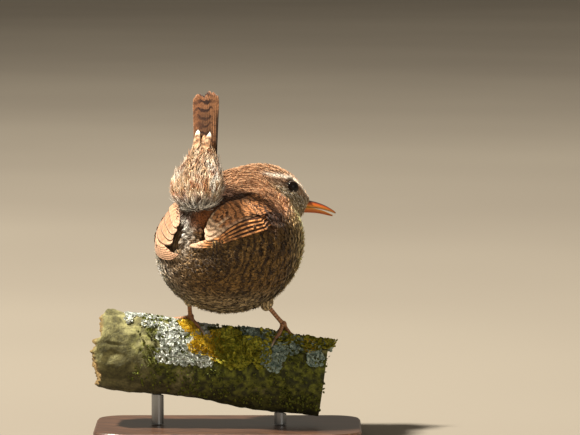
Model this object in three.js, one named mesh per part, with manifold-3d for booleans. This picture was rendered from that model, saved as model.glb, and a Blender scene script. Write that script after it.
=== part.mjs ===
// A Eurasian wren with a cocked tail, looking over its right shoulder. It stands across a short
// cut length of branch that two short rods hold over a flat base.
// Millimetres, +Z up. The trunk faces -Y, so the bird's right side is -X. The origin is the
// centre of the base's underside.

import * as THREE from "three";
import { mergeVertices } from "three/addons/utils/BufferGeometryUtils.js";
import Module from "manifold-3d";

const wasm = await Module();
wasm.setup();

// Driving dimensions
const GAP = 0.3; // left between pieces that touch
const DEGREE = Math.PI / 180;

const TRUNK_HEIGHT = 63; // trunk's centre above the floor
const TRUNK_RADII = [22.4, 24.5, 19.8]; // half its width, length and height, coat included

const HEAD_TURN = 47; // degrees to the bird's right of the trunk's own direction
const HEAD_DROP = 25; // degrees that the bill points down
const HEAD_ROLL = 12; // degrees that the crown leans away from the right eye
const HEAD_PLACE = [-8.1, -23.1, 16]; // midway between the eyes, from the trunk's centre
const EYE_SPACING = 13.2; // between the centres of the two eyes' outer rims
const EYE_RADIUS = 2.25;
const BILL_BASE = 7.9; // from the eyes forward to where the bill leaves the face
const BILL_LENGTH = 10.2;
const BILL_RISE = 11; // degrees between the bill and the head's own level
const BILL_PARTING = 6; // degrees between the mandibles

const TAIL_ROOT = [-3, 18.7, 12]; // from the trunk's centre
const TAIL_TIP = [-0.6, 14.4, 49.6];
const TAIL_WIDTH = 9.4; // across the folded tail near its end
const TAIL_THICKNESS = 1.7; // of the stack of tail feathers

const WING_THICKNESS = 1.9; // at the middle of each wing part
const WING_EDGE = 0.6; // thickness at its outline

const TARSUS_RADII = [0.95, 0.75, 0.7, 0.7, 0.8]; // from the heel down
const KNUCKLE_RADIUS = 1.1; // where the toes meet
const TOE_RADIUS = 0.62;
const TOE_RADII = [0.6, TOE_RADIUS, 0.58, 0.56, 0.5]; // from the knuckle on
const CLAW_RADII = [0.46, 0.4, 0.27, 0.12];
const CLAW_LENGTH = 3.6;

const PERCH_TURN = 31; // degrees from the bird's left-right line to the branch's
const PERCH_SLOPE = 7.8; // degrees down towards the bird's right
const PERCH_RADIUS = 12.3;
const PERCH_ENDS = [-41, 31]; // the broken end and the sawn one, from under the trunk's centre
const PERCH_HEIGHT = 23; // the branch's centre line above the floor, under the trunk

const BASE_SIZE = [86, 52, 4];
const BASE_CORNER = 9;
const ROD_RADIUS = 2;
const ROD_PLACES = [-23, 17]; // along the branch

// Colours, matt unless said otherwise
const coat = (colour) => new THREE.MeshStandardMaterial({ color: colour, roughness: 0.85, metalness: 0 });
const RUFOUS = coat(0x9a6a44);
const BUFF = coat(0xa58f6e);
const COVERT_PALE = coat(0xc4b09a);
const QUILL = coat(0x8a5a38);
const BILL_HORN = new THREE.MeshStandardMaterial({ color: 0xb8641e, roughness: 0.45, metalness: 0 });
const EYE_DARK = new THREE.MeshStandardMaterial({ color: 0x14100c, roughness: 0.08, metalness: 0 });
const LEG_SCALES = new THREE.MeshStandardMaterial({ color: 0x9c6a4c, roughness: 0.55, metalness: 0 });
const CLAW_HORN = new THREE.MeshStandardMaterial({ color: 0x6b5140, roughness: 0.4, metalness: 0 });
const BARK = coat(0x6d6743);
const STAND_WOOD = new THREE.MeshStandardMaterial({ color: 0x3a2b22, roughness: 0.5, metalness: 0 });
const ROD_STEEL = new THREE.MeshStandardMaterial({ color: 0x8d8f92, roughness: 0.35, metalness: 1 });

const vector = (x, y, z) => new THREE.Vector3(x, y, z);
const TRUNK_CENTRE = vector(0, 0, TRUNK_HEIGHT);
const fromTrunk = ([x, y, z]) => vector(x, y, z).add(TRUNK_CENTRE);
const between = (a, b, share) => a + (b - a) * share;
const smooth = (share) => {
  const s = Math.min(1, Math.max(0, share));
  return s * s * (3 - 2 * s);
};

// The head's own directions: f forwards along the bill, s to its right side, h up through the crown
const heading = vector(-Math.sin(HEAD_TURN * DEGREE), -Math.cos(HEAD_TURN * DEGREE), 0);
const upright = vector(0, 0, 1);
const level = heading.clone().cross(upright);
const HEAD_F = heading
  .clone()
  .multiplyScalar(Math.cos(HEAD_DROP * DEGREE))
  .addScaledVector(upright, -Math.sin(HEAD_DROP * DEGREE));
const crown = level.clone().cross(HEAD_F);
const HEAD_S = level
  .clone()
  .multiplyScalar(Math.cos(HEAD_ROLL * DEGREE))
  .addScaledVector(crown, Math.sin(HEAD_ROLL * DEGREE));
const HEAD_H = HEAD_S.clone().cross(HEAD_F);
const headPoint = (f, s, h) =>
  fromTrunk(HEAD_PLACE).addScaledVector(HEAD_F, f).addScaledVector(HEAD_S, s).addScaledVector(HEAD_H, h);

// The tail's own directions: up its length, across it, and out of its underside
const TAIL_UP = fromTrunk(TAIL_TIP).sub(fromTrunk(TAIL_ROOT)).normalize();
const TAIL_LENGTH = fromTrunk(TAIL_TIP).distanceTo(fromTrunk(TAIL_ROOT));
const TAIL_BACK = TAIL_UP.clone().cross(vector(1, 0, 0)).normalize();
const TAIL_ACROSS = TAIL_BACK.clone().cross(TAIL_UP);
const tailPoint = (up, across, back) =>
  fromTrunk(TAIL_ROOT)
    .addScaledVector(TAIL_UP, up)
    .addScaledVector(TAIL_ACROSS, across)
    .addScaledVector(TAIL_BACK, back);

// The coat's outer form is a smooth union of ellipsoids. Each has a centre, three half sizes, the
// directions that they lie along, and how widely it melts into the ones before it.
const WORLD_AXES = [vector(1, 0, 0), vector(0, 1, 0), vector(0, 0, 1)];
const HEAD_AXES = [HEAD_F, HEAD_S, HEAD_H];
const TAIL_AXES = [TAIL_ACROSS, TAIL_BACK, TAIL_UP];
const ball = (centre, radii, axes, melt) => ({ centre, radii, axes, melt });
const BODY = [
  ball(fromTrunk([0, 0, -2.5]), TRUNK_RADII, WORLD_AXES, 0),
  ball(fromTrunk([-1, -12, 2]), [17.3, 12.8, 14.5], WORLD_AXES, 6), // breast
  ball(fromTrunk([0, 15.5, 8.5]), [9, 6.5, 7], WORLD_AXES, 6), // rump
  ball(fromTrunk([0.7, -9.8, 12.5]), [12.4, 13.8, 11], WORLD_AXES, 6), // neck
  ball(headPoint(-4.6, 0, -1.1), [10.6, 8, 6.5], HEAD_AXES, 4), // skull
  ball(headPoint(0.4, 0, -4.8), [7.2, 5.2, 4.2], HEAD_AXES, 4), // throat
  ball(headPoint(4.7, 0, -1.7), [4.6, 2.6, 2.6], HEAD_AXES, 3), // lores
];
const COVERTS = [
  ball(tailPoint(7, 0.9, 3.4), [8.9, 6.2, 7.9], TAIL_AXES, 0), // the fluffed ball under the tail
  ball(tailPoint(13, 0.4, 1.4), [5.6, 3.8, 7.6], TAIL_AXES, 3), // its long feathers
];
const COVERTS_MIDDLE = tailPoint(8.5, 0.7, 2.4);

// Distance from a point to one ellipsoid, about true near its surface
function toBall(point, { centre, radii, axes }) {
  const offset = point.clone().sub(centre);
  const local = axes.map((axis) => offset.dot(axis));
  const size = Math.hypot(...local.map((x, i) => x / radii[i]));
  const slope = Math.hypot(...local.map((x, i) => x / radii[i] ** 2));
  return slope < 1e-9 ? -Math.min(...radii) : (size * (size - 1)) / slope;
}

function toForm(point, form) {
  return form.reduce((nearest, one) => {
    const distance = toBall(point, one);
    if (nearest === null) return distance;
    const overlap = Math.max(0, one.melt - Math.abs(distance - nearest)) / (one.melt || 1);
    return Math.min(distance, nearest) - (overlap * overlap * one.melt) / 4;
  }, null);
}

function outwards(point, form) {
  const step = 0.05;
  const slope = [0, 1, 2].map((i) => {
    const ahead = point.clone().setComponent(i, point.getComponent(i) + step);
    const behind = point.clone().setComponent(i, point.getComponent(i) - step);
    return toForm(ahead, form) - toForm(behind, form);
  });
  return vector(...slope).normalize();
}

// A point moved straight to the surface that lies a height above a form
function settle(point, form, height) {
  const moved = point.clone();
  for (let i = 0; i < 6; i++) {
    moved.addScaledVector(outwards(moved, form), height - toForm(moved, form));
  }
  return moved;
}

// Meshes from rings of points, closed by a cap at each end
function skinOver(rings, firstCap, lastCap) {
  const count = rings[0].length;
  const points = [...rings.flat(), firstCap, lastCap];
  const first = points.length - 2;
  const last = points.length - 1;
  const faces = [];
  for (let i = 0; i < rings.length - 1; i++) {
    for (let j = 0; j < count; j++) {
      const k = (j + 1) % count;
      const [a, b, c, d] = [i * count + j, i * count + k, (i + 1) * count + k, (i + 1) * count + j];
      faces.push(a, b, c, a, c, d);
    }
  }
  const top = (rings.length - 1) * count;
  for (let j = 0; j < count; j++) {
    const k = (j + 1) % count;
    faces.push(first, k, j, last, top + j, top + k);
  }
  const geometry = new THREE.BufferGeometry().setFromPoints(points);
  geometry.setIndex(faces);
  return facingOut(geometry);
}

const middle = (ring) => ring.reduce((sum, p) => sum.add(p), vector(0, 0, 0)).divideScalar(ring.length);
const capped = (rings) => skinOver(rings, middle(rings[0]), middle(rings.at(-1)));

function facingOut(geometry) {
  const at = geometry.getAttribute("position");
  const corner = [vector(), vector(), vector()];
  const index = geometry.index.array;
  let volume = 0;
  for (let i = 0; i < index.length; i += 3) {
    corner.forEach((c, k) => c.fromBufferAttribute(at, index[i + k]));
    volume += corner[0].dot(corner[1].clone().cross(corner[2]));
  }
  if (volume < 0) index.reverse();
  return geometry;
}

// Solids for cutting, and back again
function solidOf(geometry) {
  const bare = geometry.clone();
  bare.deleteAttribute("normal");
  bare.deleteAttribute("uv");
  const merged = mergeVertices(bare, 1e-4);
  return new wasm.Manifold(
    new wasm.Mesh({
      numProp: 3,
      vertProperties: merged.getAttribute("position").array,
      triVerts: new Uint32Array(merged.index.array),
    }),
  );
}

function geometryOf(solid) {
  const mesh = solid.getMesh();
  return new THREE.BufferGeometry()
    .setAttribute("position", new THREE.BufferAttribute(mesh.vertProperties, 3))
    .setIndex(new THREE.BufferAttribute(mesh.triVerts, 1));
}

const model = new THREE.Group();
function add(name, shape, material) {
  const geometry = shape.isBufferGeometry ? shape : geometryOf(shape);
  const mesh = new THREE.Mesh(geometry, material.clone());
  mesh.name = name;
  model.add(mesh);
}

// A closed surface at a height over a form: rays from an inner point, turned about an axis
function shellRound(form, height, inner, axis, rows, columns) {
  const turned = new THREE.Quaternion().setFromUnitVectors(upright, axis.clone().normalize());
  const hit = (down, round) => {
    const way = new THREE.Vector3().setFromSphericalCoords(1, down, round);
    way.set(way.x, way.z, way.y).applyQuaternion(turned);
    let reach = 60;
    for (let i = 0; i < 80; i++) {
      reach -= 0.8 * (toForm(inner.clone().addScaledVector(way, reach), form) - height);
    }
    return inner.clone().addScaledVector(way, reach);
  };
  const rings = [];
  for (let i = 1; i < rows; i++) {
    const ring = [];
    for (let j = 0; j < columns; j++) ring.push(hit((i / rows) * Math.PI, (j / columns) * 2 * Math.PI));
    rings.push(ring);
  }
  return skinOver(rings, hit(0, 0), hit(Math.PI, 0));
}

// Everything on one side of a plane
function beyond(point, way) {
  const box = new THREE.BoxGeometry(200, 200, 200);
  box.translate(0, 0, 100);
  box.applyQuaternion(new THREE.Quaternion().setFromUnitVectors(upright, way.clone().normalize()));
  box.translate(point.x, point.y, point.z);
  return solidOf(box);
}

// Head, neck and trunk: one form, parted by two thin cuts
const INNER = fromTrunk([-2, -11, 9]);
const FACE_WAY = headPoint(BILL_BASE, 0, -2).sub(INNER);
const bodyForm = (height) => solidOf(shellRound(BODY, height, INNER, FACE_WAY, 26, 34));
const body = bodyForm(0);
const bodyAndGap = bodyForm(GAP);

// The head is what lies ahead of its nape's plane and above its throat's
const tilted = (forward, up) => HEAD_F.clone().multiplyScalar(forward).addScaledVector(HEAD_H, up);
const NAPE = { point: headPoint(-9.5, 0, -6), way: tilted(0.87, 0.5) };
const THROAT = { point: headPoint(0, 0, -9.6), way: tilted(0.28, 0.96) };
const NECK = { point: fromTrunk([0, -8, 11]), way: vector(-0.22, -0.7, 0.68) };
const grownBy = ({ point, way }, gap) =>
  beyond(point.clone().addScaledVector(way.clone().normalize(), -gap), way);

function eyeAt(side) {
  return headPoint(0, side * (EYE_SPACING / 2 - 1.05), 0.2);
}
const eyeBall = (side, extra) => {
  const globe = new THREE.SphereGeometry(EYE_RADIUS + extra, 16, 10);
  globe.applyQuaternion(new THREE.Quaternion().setFromUnitVectors(vector(0, 1, 0), HEAD_S));
  const at = eyeAt(side);
  return globe.translate(at.x, at.y, at.z);
};

// Bill: two tapering halves that part towards their tips
const BILL_SEAM = -2.7; // the gape's height beside the eyes
const MANDIBLES = {
  upper: { side: 1, half: 1.75, depth: 2.3, reach: BILL_LENGTH },
  lower: { side: -1, half: 1.5, depth: 1.5, reach: BILL_LENGTH - 0.6 },
};
function mandible({ side, half, depth, reach }, grown) {
  const steps = 7;
  const sides = 10;
  const hidden = 1.3; // length inside the face
  const rise = Math.tan((BILL_RISE + (side * BILL_PARTING) / 2) * DEGREE);
  const rings = [];
  for (let i = 0; i <= steps; i++) {
    const along = between(-hidden, reach, i / steps);
    const share = Math.max(0, along / reach);
    const taper = Math.pow(1 - share, 0.75);
    const wide = between(0.3, half, taper) + grown;
    const tall = between(0.32, depth, taper) + grown;
    const arch = 0.5 * Math.sin(Math.PI * share);
    const seam = BILL_SEAM + rise * along + arch + (side * GAP) / 2;
    const ring = [];
    for (let j = 0; j < sides; j++) {
      const round = (j / sides) * 2 * Math.PI;
      const height = Math.max(Math.sin(round) * tall, -grown);
      ring.push(headPoint(BILL_BASE + along, Math.cos(round) * wide, seam + side * height));
    }
    rings.push(ring);
  }
  return capped(rings);
}

// Wings: shells on the trunk, each between a lower and an upper edge that run from its front end
// to its rounded tip. Places are from the trunk's centre: outwards, backwards and up.
const WING_FRONT = {
  lower: [
    [20.5, -9, 5.2],
    [21.6, -3, 7],
    [21.2, 3, 7.2],
    [20.6, 8, 5.9],
  ],
  upper: [
    [15, -9, 12.2],
    [12.6, -3, 15.4],
    [12, 3, 15.8],
    [11.6, 8.8, 15],
  ],
};
const WINGS = {
  left: {
    side: 1,
    coverts: WING_FRONT,
    tertials: {
      lower: [
        [17.6, 9.6, 9.2],
        [17.2, 15, 6],
        [15, 19, 3.2],
        [11.5, 22.3, 1.8],
        [8, 24.1, 1.6],
        [5.8, 24.9, 2.8],
      ],
      upper: [
        [11.4, 9.8, 14.9],
        [8.8, 15.6, 14],
        [6, 20, 12.6],
        [4.2, 22.9, 9.6],
        [3.4, 24.4, 6.6],
        [4, 24.9, 4.4],
      ],
    },
    primaries: {
      lower: [
        [20.6, 9, 5],
        [19.4, 14, 1.2],
        [15.8, 19.2, -1.8],
        [11.4, 22.7, -3.2],
        [6.6, 24.8, -3.3],
        [3, 25.6, -1.9],
      ],
      upper: [
        [18, 9.4, 8.6],
        [17.7, 14.6, 5.3],
        [15.4, 18.8, 2.5],
        [12, 22, 0.9],
        [7, 24.6, 0.3],
        [3, 25.6, -0.6],
      ],
    },
  },
  right: {
    side: -1,
    coverts: WING_FRONT,
    tertials: {
      lower: [
        [17.4, 9.6, 9.4],
        [14.9, 15.6, 8.3],
        [12, 20.6, 5.8],
        [9.8, 22.8, 3.6],
        [8, 24, 2.6],
        [6.6, 24.5, 3.4],
      ],
      upper: [
        [11.5, 9.8, 14.9],
        [10, 15, 14.4],
        [9, 18.8, 12.8],
        [7.6, 21.8, 10],
        [6.2, 23.8, 7],
        [5.9, 24.4, 5],
      ],
    },
    primaries: {
      lower: [
        [20.5, 9, 5.6],
        [17.8, 15.5, 3.8],
        [13.5, 20.5, 2.5],
        [8.8, 23.8, 1.2],
        [5, 25.2, 0.4],
        [1.2, 25.7, 0.5],
      ],
      upper: [
        [17.8, 9.2, 8.8],
        [15.2, 15.3, 7.6],
        [12, 20.2, 5],
        [9.4, 23.2, 2.8],
        [5.4, 24.9, 2.2],
        [1.2, 25.7, 1.6],
      ],
    },
  },
};
const edgeOf = (points, side) =>
  new THREE.CatmullRomCurve3(points.map(([x, y, z]) => fromTrunk([side * x, y, z])));

function wingShell({ lower, upper }, side, steps) {
  const below = edgeOf(lower, side);
  const above = edgeOf(upper, side);
  const across = 5;
  const rings = [];
  for (let i = 0; i <= steps; i++) {
    const along = i / steps;
    const full = WING_THICKNESS * Math.sqrt(Math.sin(Math.PI * between(0.12, 0.9, along)));
    const outer = [];
    const inner = [];
    for (let j = 0; j <= across; j++) {
      const width = j / across;
      const at = below.getPoint(along).lerp(above.getPoint(along), width);
      const thick = between(WING_EDGE, full, Math.sqrt(Math.sin(Math.PI * width)));
      inner.push(settle(at, BODY, GAP));
      outer.push(settle(at, BODY, GAP + thick));
    }
    rings.push([...outer, ...inner.reverse()]);
  }
  return capped(rings);
}

// Tail: the folded stack of feathers, above the coverts that wrap its root
function tailStack() {
  const steps = 9;
  const sides = 10;
  const rings = [];
  for (let i = 0; i <= steps; i++) {
    const share = i / steps;
    const up = between(9, TAIL_LENGTH, share);
    const half = between(7, TAIL_WIDTH, smooth(share * 1.5)) / 2 - (i === steps ? 0.9 : 0);
    const ring = [];
    for (let j = 0; j < sides; j++) {
      const round = (j / sides) * 2 * Math.PI;
      const across = Math.cos(round) * half;
      const hollow = 0.9 * (across / half) ** 2;
      const crest = share === 1 ? -0.9 * Math.abs(across / half) : 0;
      ring.push(tailPoint(up + crest, across, hollow + (Math.sin(round) * TAIL_THICKNESS) / 2));
    }
    rings.push(ring);
  }
  return solidOf(capped(rings));
}

// The branch's own directions: along it to the bird's right, across it to the far side, and up
const PERCH_ALONG = vector(
  -Math.cos(PERCH_TURN * DEGREE) * Math.cos(PERCH_SLOPE * DEGREE),
  -Math.sin(PERCH_TURN * DEGREE) * Math.cos(PERCH_SLOPE * DEGREE),
  -Math.sin(PERCH_SLOPE * DEGREE),
);
const PERCH_ACROSS = PERCH_ALONG.clone().cross(upright).normalize().negate();
const PERCH_UP = PERCH_ALONG.clone().cross(PERCH_ACROSS).normalize();
function barkRadius(along, round) {
  const waves = 0.35 * Math.sin(along * 0.16 + 2 * round) + 0.3 * Math.sin(3 * round - along * 0.09);
  const knob = 1.5 * Math.exp(-(((along - PERCH_ENDS[0]) / 5) ** 2)) * Math.max(0, Math.cos(round));
  return PERCH_RADIUS + waves + knob;
}
const brokenEdge = (round) => 1.1 * Math.sin(2 * round + 0.8) + 0.8 * Math.sin(5 * round);
function perchPoint(along, round, height) {
  const reach = barkRadius(along, round) + height;
  return vector(0, 0, PERCH_HEIGHT)
    .addScaledVector(PERCH_ALONG, along)
    .addScaledVector(PERCH_UP, reach * Math.cos(round))
    .addScaledVector(PERCH_ACROSS, reach * Math.sin(round));
}
function branch(grown) {
  const steps = 12;
  const sides = 24;
  const rings = [];
  for (let i = 0; i <= steps; i++) {
    const along = between(PERCH_ENDS[0], PERCH_ENDS[1], i / steps);
    const ring = [];
    for (let j = 0; j < sides; j++) {
      const round = (j / sides) * 2 * Math.PI;
      ring.push(perchPoint(along + (i === 0 ? brokenEdge(round) : 0), round, grown));
    }
    rings.push(ring);
  }
  return capped(rings);
}

// A tapering round limb along a smooth path
function limb(points, radii, sides, steps) {
  const path = new THREE.CatmullRomCurve3(points);
  const frames = path.computeFrenetFrames(steps, false);
  const rings = [];
  for (let i = 0; i <= steps; i++) {
    const share = i / steps;
    const at = path.getPointAt(share);
    const slot = share * (radii.length - 1);
    const low = Math.min(Math.floor(slot), radii.length - 2);
    const radius = between(radii[low], radii[low + 1], slot - low);
    const ring = [];
    for (let j = 0; j < sides; j++) {
      const round = (j / sides) * 2 * Math.PI;
      ring.push(
        at
          .clone()
          .addScaledVector(frames.normals[i], radius * Math.cos(round))
          .addScaledVector(frames.binormals[i], radius * Math.sin(round)),
      );
    }
    rings.push(ring);
  }
  return capped(rings);
}

// Legs. A foot stands at a place on the branch, and its three front toes point at an angle from
// the far side towards the bird's right, spread from the inner toe 2 to the outer toe 4. Toe 1
// points back at an angle of its own.
const LEGS = {
  left: {
    heel: [9, 9.2, -16.8],
    foot: [-14.2, 0],
    joint: 2,
    front: -18,
    hind: 148,
    inward: 1,
    tuft: [2.7, 2.7, 4.4],
  },
  right: {
    heel: [-11.6, -4.6, -19.4],
    foot: [15.8, 0],
    joint: 3.8,
    front: 15,
    hind: 196,
    inward: -1,
    tuft: [3, 3, 3.2],
  },
};
const TUFT_RISE = 0.8; // from the heel up to the middle of its tuft
const TOES = [
  { length: 6.8 },
  { length: 7.6, spread: 34 },
  { length: 9.6, spread: 2 },
  { length: 8.2, spread: -34 },
];

function tuftOf({ heel, tuft }, grown) {
  const at = fromTrunk(heel).add(vector(0, 0, TUFT_RISE));
  return solidOf(shellRound([ball(at, tuft, WORLD_AXES, 0)], grown, at, upright, 8, 12));
}

function toePath({ foot, joint, front, hind, inward }, { length, spread }) {
  const way = (spread === undefined ? hind : front + inward * spread) * DEGREE;
  const place = (reach, height) =>
    perchPoint(foot[0] + reach * Math.sin(way), foot[1] + (reach * Math.cos(way)) / PERCH_RADIUS, height);
  const lie = GAP + TOE_RADIUS;
  const stretch = (share) => between(joint, lie, smooth(share));
  return {
    toe: [
      place(0.6, stretch(0.1)),
      place(length * 0.28, stretch(0.6)),
      place(length * 0.6, lie),
      place(length * 0.8, lie),
      place(length, lie),
    ],
    claw: [
      place(length + 0.3 + GAP, lie),
      place(length + CLAW_LENGTH * 0.45, lie + 0.35),
      place(length + CLAW_LENGTH * 0.8, lie + 0.05),
      place(length + CLAW_LENGTH, lie - 0.25),
    ],
  };
}

function leg(side) {
  const shape = LEGS[side];
  const joint = perchPoint(shape.foot[0], shape.foot[1], shape.joint);
  const heel = fromTrunk(shape.heel);
  const shank = solidOf(limb([heel, heel.clone().lerp(joint, 0.5), joint], TARSUS_RADII, 9, 5));
  add(`thigh_${side}`, tuftOf(shape, 0).subtract(bodyAndGap), BUFF);
  const knuckle = (extra) =>
    solidOf(new THREE.SphereGeometry(KNUCKLE_RADIUS + extra, 10, 7).translate(joint.x, joint.y, joint.z));
  const tarsus = shank.add(knuckle(0));
  add(`tarsus_${side}`, largest(tarsus.subtract(tuftOf(shape, GAP)).subtract(bodyAndGap)), LEG_SCALES);
  const room = knuckle(GAP).add(shank);
  TOES.forEach((toe, i) => {
    const others = TOES.slice(0, i).map((other) => toeSolid(shape, other, GAP));
    const digit = others.reduce((left, other) => left.subtract(other), toeSolid(shape, toe, 0));
    add(`toe_${side}_${i + 1}`, largest(digit.subtract(room)), LEG_SCALES);
    add(`claw_${side}_${i + 1}`, limb(toePath(shape, toe).claw, CLAW_RADII, 6, 4), CLAW_HORN);
  });
}
const toeSolid = (shape, toe, grown) =>
  solidOf(limb(toePath(shape, toe).toe, TOE_RADII.map((radius) => radius + grown), 7, 6));
const largest = (solid) => solid.decompose().sort((a, b) => b.volume() - a.volume())[0];

// Stand: a rounded flat base and two short rods up to the branch
function standBase() {
  const [length, width, height] = BASE_SIZE;
  const bevel = 0.6;
  const [x, y] = [length / 2 - bevel, width / 2 - bevel];
  const outline = new THREE.Shape();
  outline.moveTo(-x + BASE_CORNER, -y);
  outline.lineTo(x - BASE_CORNER, -y);
  outline.absarc(x - BASE_CORNER, -y + BASE_CORNER, BASE_CORNER, -Math.PI / 2, 0);
  outline.lineTo(x, y - BASE_CORNER);
  outline.absarc(x - BASE_CORNER, y - BASE_CORNER, BASE_CORNER, 0, Math.PI / 2);
  outline.lineTo(-x + BASE_CORNER, y);
  outline.absarc(-x + BASE_CORNER, y - BASE_CORNER, BASE_CORNER, Math.PI / 2, Math.PI);
  outline.lineTo(-x, -y + BASE_CORNER);
  outline.absarc(-x + BASE_CORNER, -y + BASE_CORNER, BASE_CORNER, Math.PI, 1.5 * Math.PI);
  const slab = new THREE.ExtrudeGeometry(outline, {
    depth: height - 2 * bevel,
    bevelThickness: bevel,
    bevelSize: bevel,
    bevelSegments: 1,
    curveSegments: 6,
  });
  slab.translate(0, 0, bevel);
  return slab.rotateZ(PERCH_TURN * DEGREE);
}

function standRod(place, branchAndGap) {
  const foot = vector(0, 0, PERCH_HEIGHT).addScaledVector(PERCH_ALONG, place);
  const low = BASE_SIZE[2] + GAP;
  const rod = new THREE.CylinderGeometry(ROD_RADIUS, ROD_RADIUS, foot.z - low, 20);
  rod.rotateX(Math.PI / 2);
  rod.translate(foot.x, foot.y, (foot.z + low) / 2);
  return largest(solidOf(rod).subtract(branchAndGap));
}

// Assembly
const eyes = { left: -1, right: 1 };
const sockets = solidOf(eyeBall(eyes.left, GAP)).add(solidOf(eyeBall(eyes.right, GAP)));
const billRoom = solidOf(mandible(MANDIBLES.upper, GAP)).add(solidOf(mandible(MANDIBLES.lower, GAP)));
const headSide = grownBy(NAPE, 0).intersect(grownBy(THROAT, 0));
const headAndGap = grownBy(NAPE, GAP).intersect(grownBy(THROAT, GAP));
const coverts = solidOf(shellRound(COVERTS, 0, COVERTS_MIDDLE, TAIL_UP, 14, 18));
const covertsAndGap = solidOf(shellRound(COVERTS, GAP, COVERTS_MIDDLE, TAIL_UP, 14, 18));

add("head", largest(body.intersect(headSide).subtract(sockets).subtract(billRoom)), RUFOUS);
add("neck", largest(body.subtract(headAndGap).intersect(grownBy(NECK, 0))), RUFOUS);
add("trunk", largest(body.subtract(headAndGap).subtract(grownBy(NECK, GAP))), BUFF);
Object.entries(eyes).forEach(([side, sign]) => add(`eye_${side}`, eyeBall(sign, 0), EYE_DARK));
Object.entries(MANDIBLES).forEach(([name, shape]) => add(`bill_${name}`, mandible(shape, 0), BILL_HORN));

Object.entries(WINGS).forEach(([name, wing]) => {
  const shell = (part, steps) => largest(solidOf(wingShell(part, wing.side, steps)).subtract(covertsAndGap));
  add(`wing_${name}_coverts`, shell(wing.coverts, 7), RUFOUS);
  add(`wing_${name}_tertials`, shell(wing.tertials, 9), RUFOUS);
  add(`wing_${name}_primaries`, shell(wing.primaries, 9), QUILL);
});
add("tail_coverts", largest(coverts.subtract(bodyAndGap)), COVERT_PALE);
add("tail", largest(tailStack().subtract(covertsAndGap).subtract(bodyAndGap)), QUILL);
leg("left");
leg("right");

const branchAndGap = solidOf(branch(GAP));
add("perch", branch(0), BARK);
add("stand_base", standBase(), STAND_WOOD);
ROD_PLACES.forEach((place, i) => add(`stand_rod_${i + 1}`, standRod(place, branchAndGap), ROD_STEEL));

export default model;
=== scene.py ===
"""A life-size model of a wren perched on a cut length of branch, on a plain display stand.

All shapes are worked out in millimetres in the row frame, with +Z up, and put into metres when a
mesh is made. The plumage is thin closed vanes and wisps laid over one skin.
"""

import bpy
import numpy as np
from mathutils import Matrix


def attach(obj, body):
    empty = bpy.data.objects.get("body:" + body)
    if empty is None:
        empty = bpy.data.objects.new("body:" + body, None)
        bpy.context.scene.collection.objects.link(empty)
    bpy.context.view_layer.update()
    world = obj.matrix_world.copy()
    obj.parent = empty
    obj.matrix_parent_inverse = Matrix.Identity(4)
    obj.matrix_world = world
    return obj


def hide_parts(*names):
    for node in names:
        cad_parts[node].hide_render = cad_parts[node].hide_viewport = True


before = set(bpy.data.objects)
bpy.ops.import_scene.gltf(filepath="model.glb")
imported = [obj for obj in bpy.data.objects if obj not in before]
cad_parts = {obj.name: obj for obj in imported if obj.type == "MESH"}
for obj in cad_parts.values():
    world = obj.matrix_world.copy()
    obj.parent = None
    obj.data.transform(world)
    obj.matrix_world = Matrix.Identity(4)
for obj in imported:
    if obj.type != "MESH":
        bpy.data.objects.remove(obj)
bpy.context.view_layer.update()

MM = 0.001
DEGREE = np.pi / 180


# Small sums on arrays of points


def unit(vectors):
    """Vectors divided by their own length."""
    return vectors / np.maximum(np.linalg.norm(vectors, axis=-1, keepdims=True), 1e-12)


def along(a, b):
    """The dot product of two arrays of vectors, kept as a last axis of one."""
    return np.sum(a * b, axis=-1, keepdims=True)


def ramp(value, start, end):
    """From 0 at start to 1 at end, eased by s * s * (3 - 2 * s)."""
    share = np.clip((value - start) / (end - start), 0, 1)
    return share * share * (3 - 2 * share)


def blend(a, b, share):
    """a where share is 0, b where it is 1, in a straight line between."""
    return a + (b - a) * share


def bell(value, middle, width):
    """A soft hump: exp of minus the squared distance from the middle over the width."""
    return np.exp(-(((value - middle) / width) ** 2))


LATTICE_SIZE = 4096
LATTICE_STRIDES = np.array([7919, 10473, 12997])


def lattice(points, size, seed):
    """Smooth noise from -1 to 1: random values on the corners of cubes of that size, eased between."""
    table = np.random.default_rng(seed).uniform(-1, 1, LATTICE_SIZE)
    scaled = np.asarray(points) / size
    cell = np.floor(scaled).astype(np.int64)
    part = scaled - cell
    ease = part * part * (3 - 2 * part)
    total = np.zeros(cell.shape[:-1])
    for corner in np.ndindex(2, 2, 2):
        key = (cell + np.array(corner)) @ LATTICE_STRIDES % LATTICE_SIZE
        share = np.prod(np.where(np.array(corner) == 1, ease, 1 - ease), axis=-1)
        total += table[key] * share
    return total


def spline(points, at):
    """A Catmull-Rom curve through the points, read at shares from 0 to 1 of their row."""
    points = np.asarray(points, float)
    ends = np.concatenate([2 * points[:1] - points[1:2], points, 2 * points[-1:] - points[-2:-1]])
    place = np.clip(np.asarray(at, float), 0, 1) * (len(points) - 1)
    first = np.minimum(place.astype(int), len(points) - 2)
    t = (place - first)[..., None]
    a, b, c, d = (ends[first + i] for i in range(4))
    straight = 2 * b + (c - a) * t
    bent = (2 * a - 5 * b + 4 * c - d) * t**2 + (3 * b - a - 3 * c + d) * t**3
    return 0.5 * (straight + bent)


# The bird's own directions and outer form, the same as the solids'

TRUNK_CENTRE = np.array([0.0, 0.0, 63.0])
HEAD_TURN = 47 * DEGREE
HEAD_DROP = 25 * DEGREE
HEAD_ROLL = 12 * DEGREE
HEAD_PLACE = np.array([-8.1, -23.1, 16.0])
UPRIGHT = np.array([0.0, 0.0, 1.0])


def from_trunk(*point):
    """A point given from the middle of the trunk."""
    return TRUNK_CENTRE + np.array(point, float)


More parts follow.
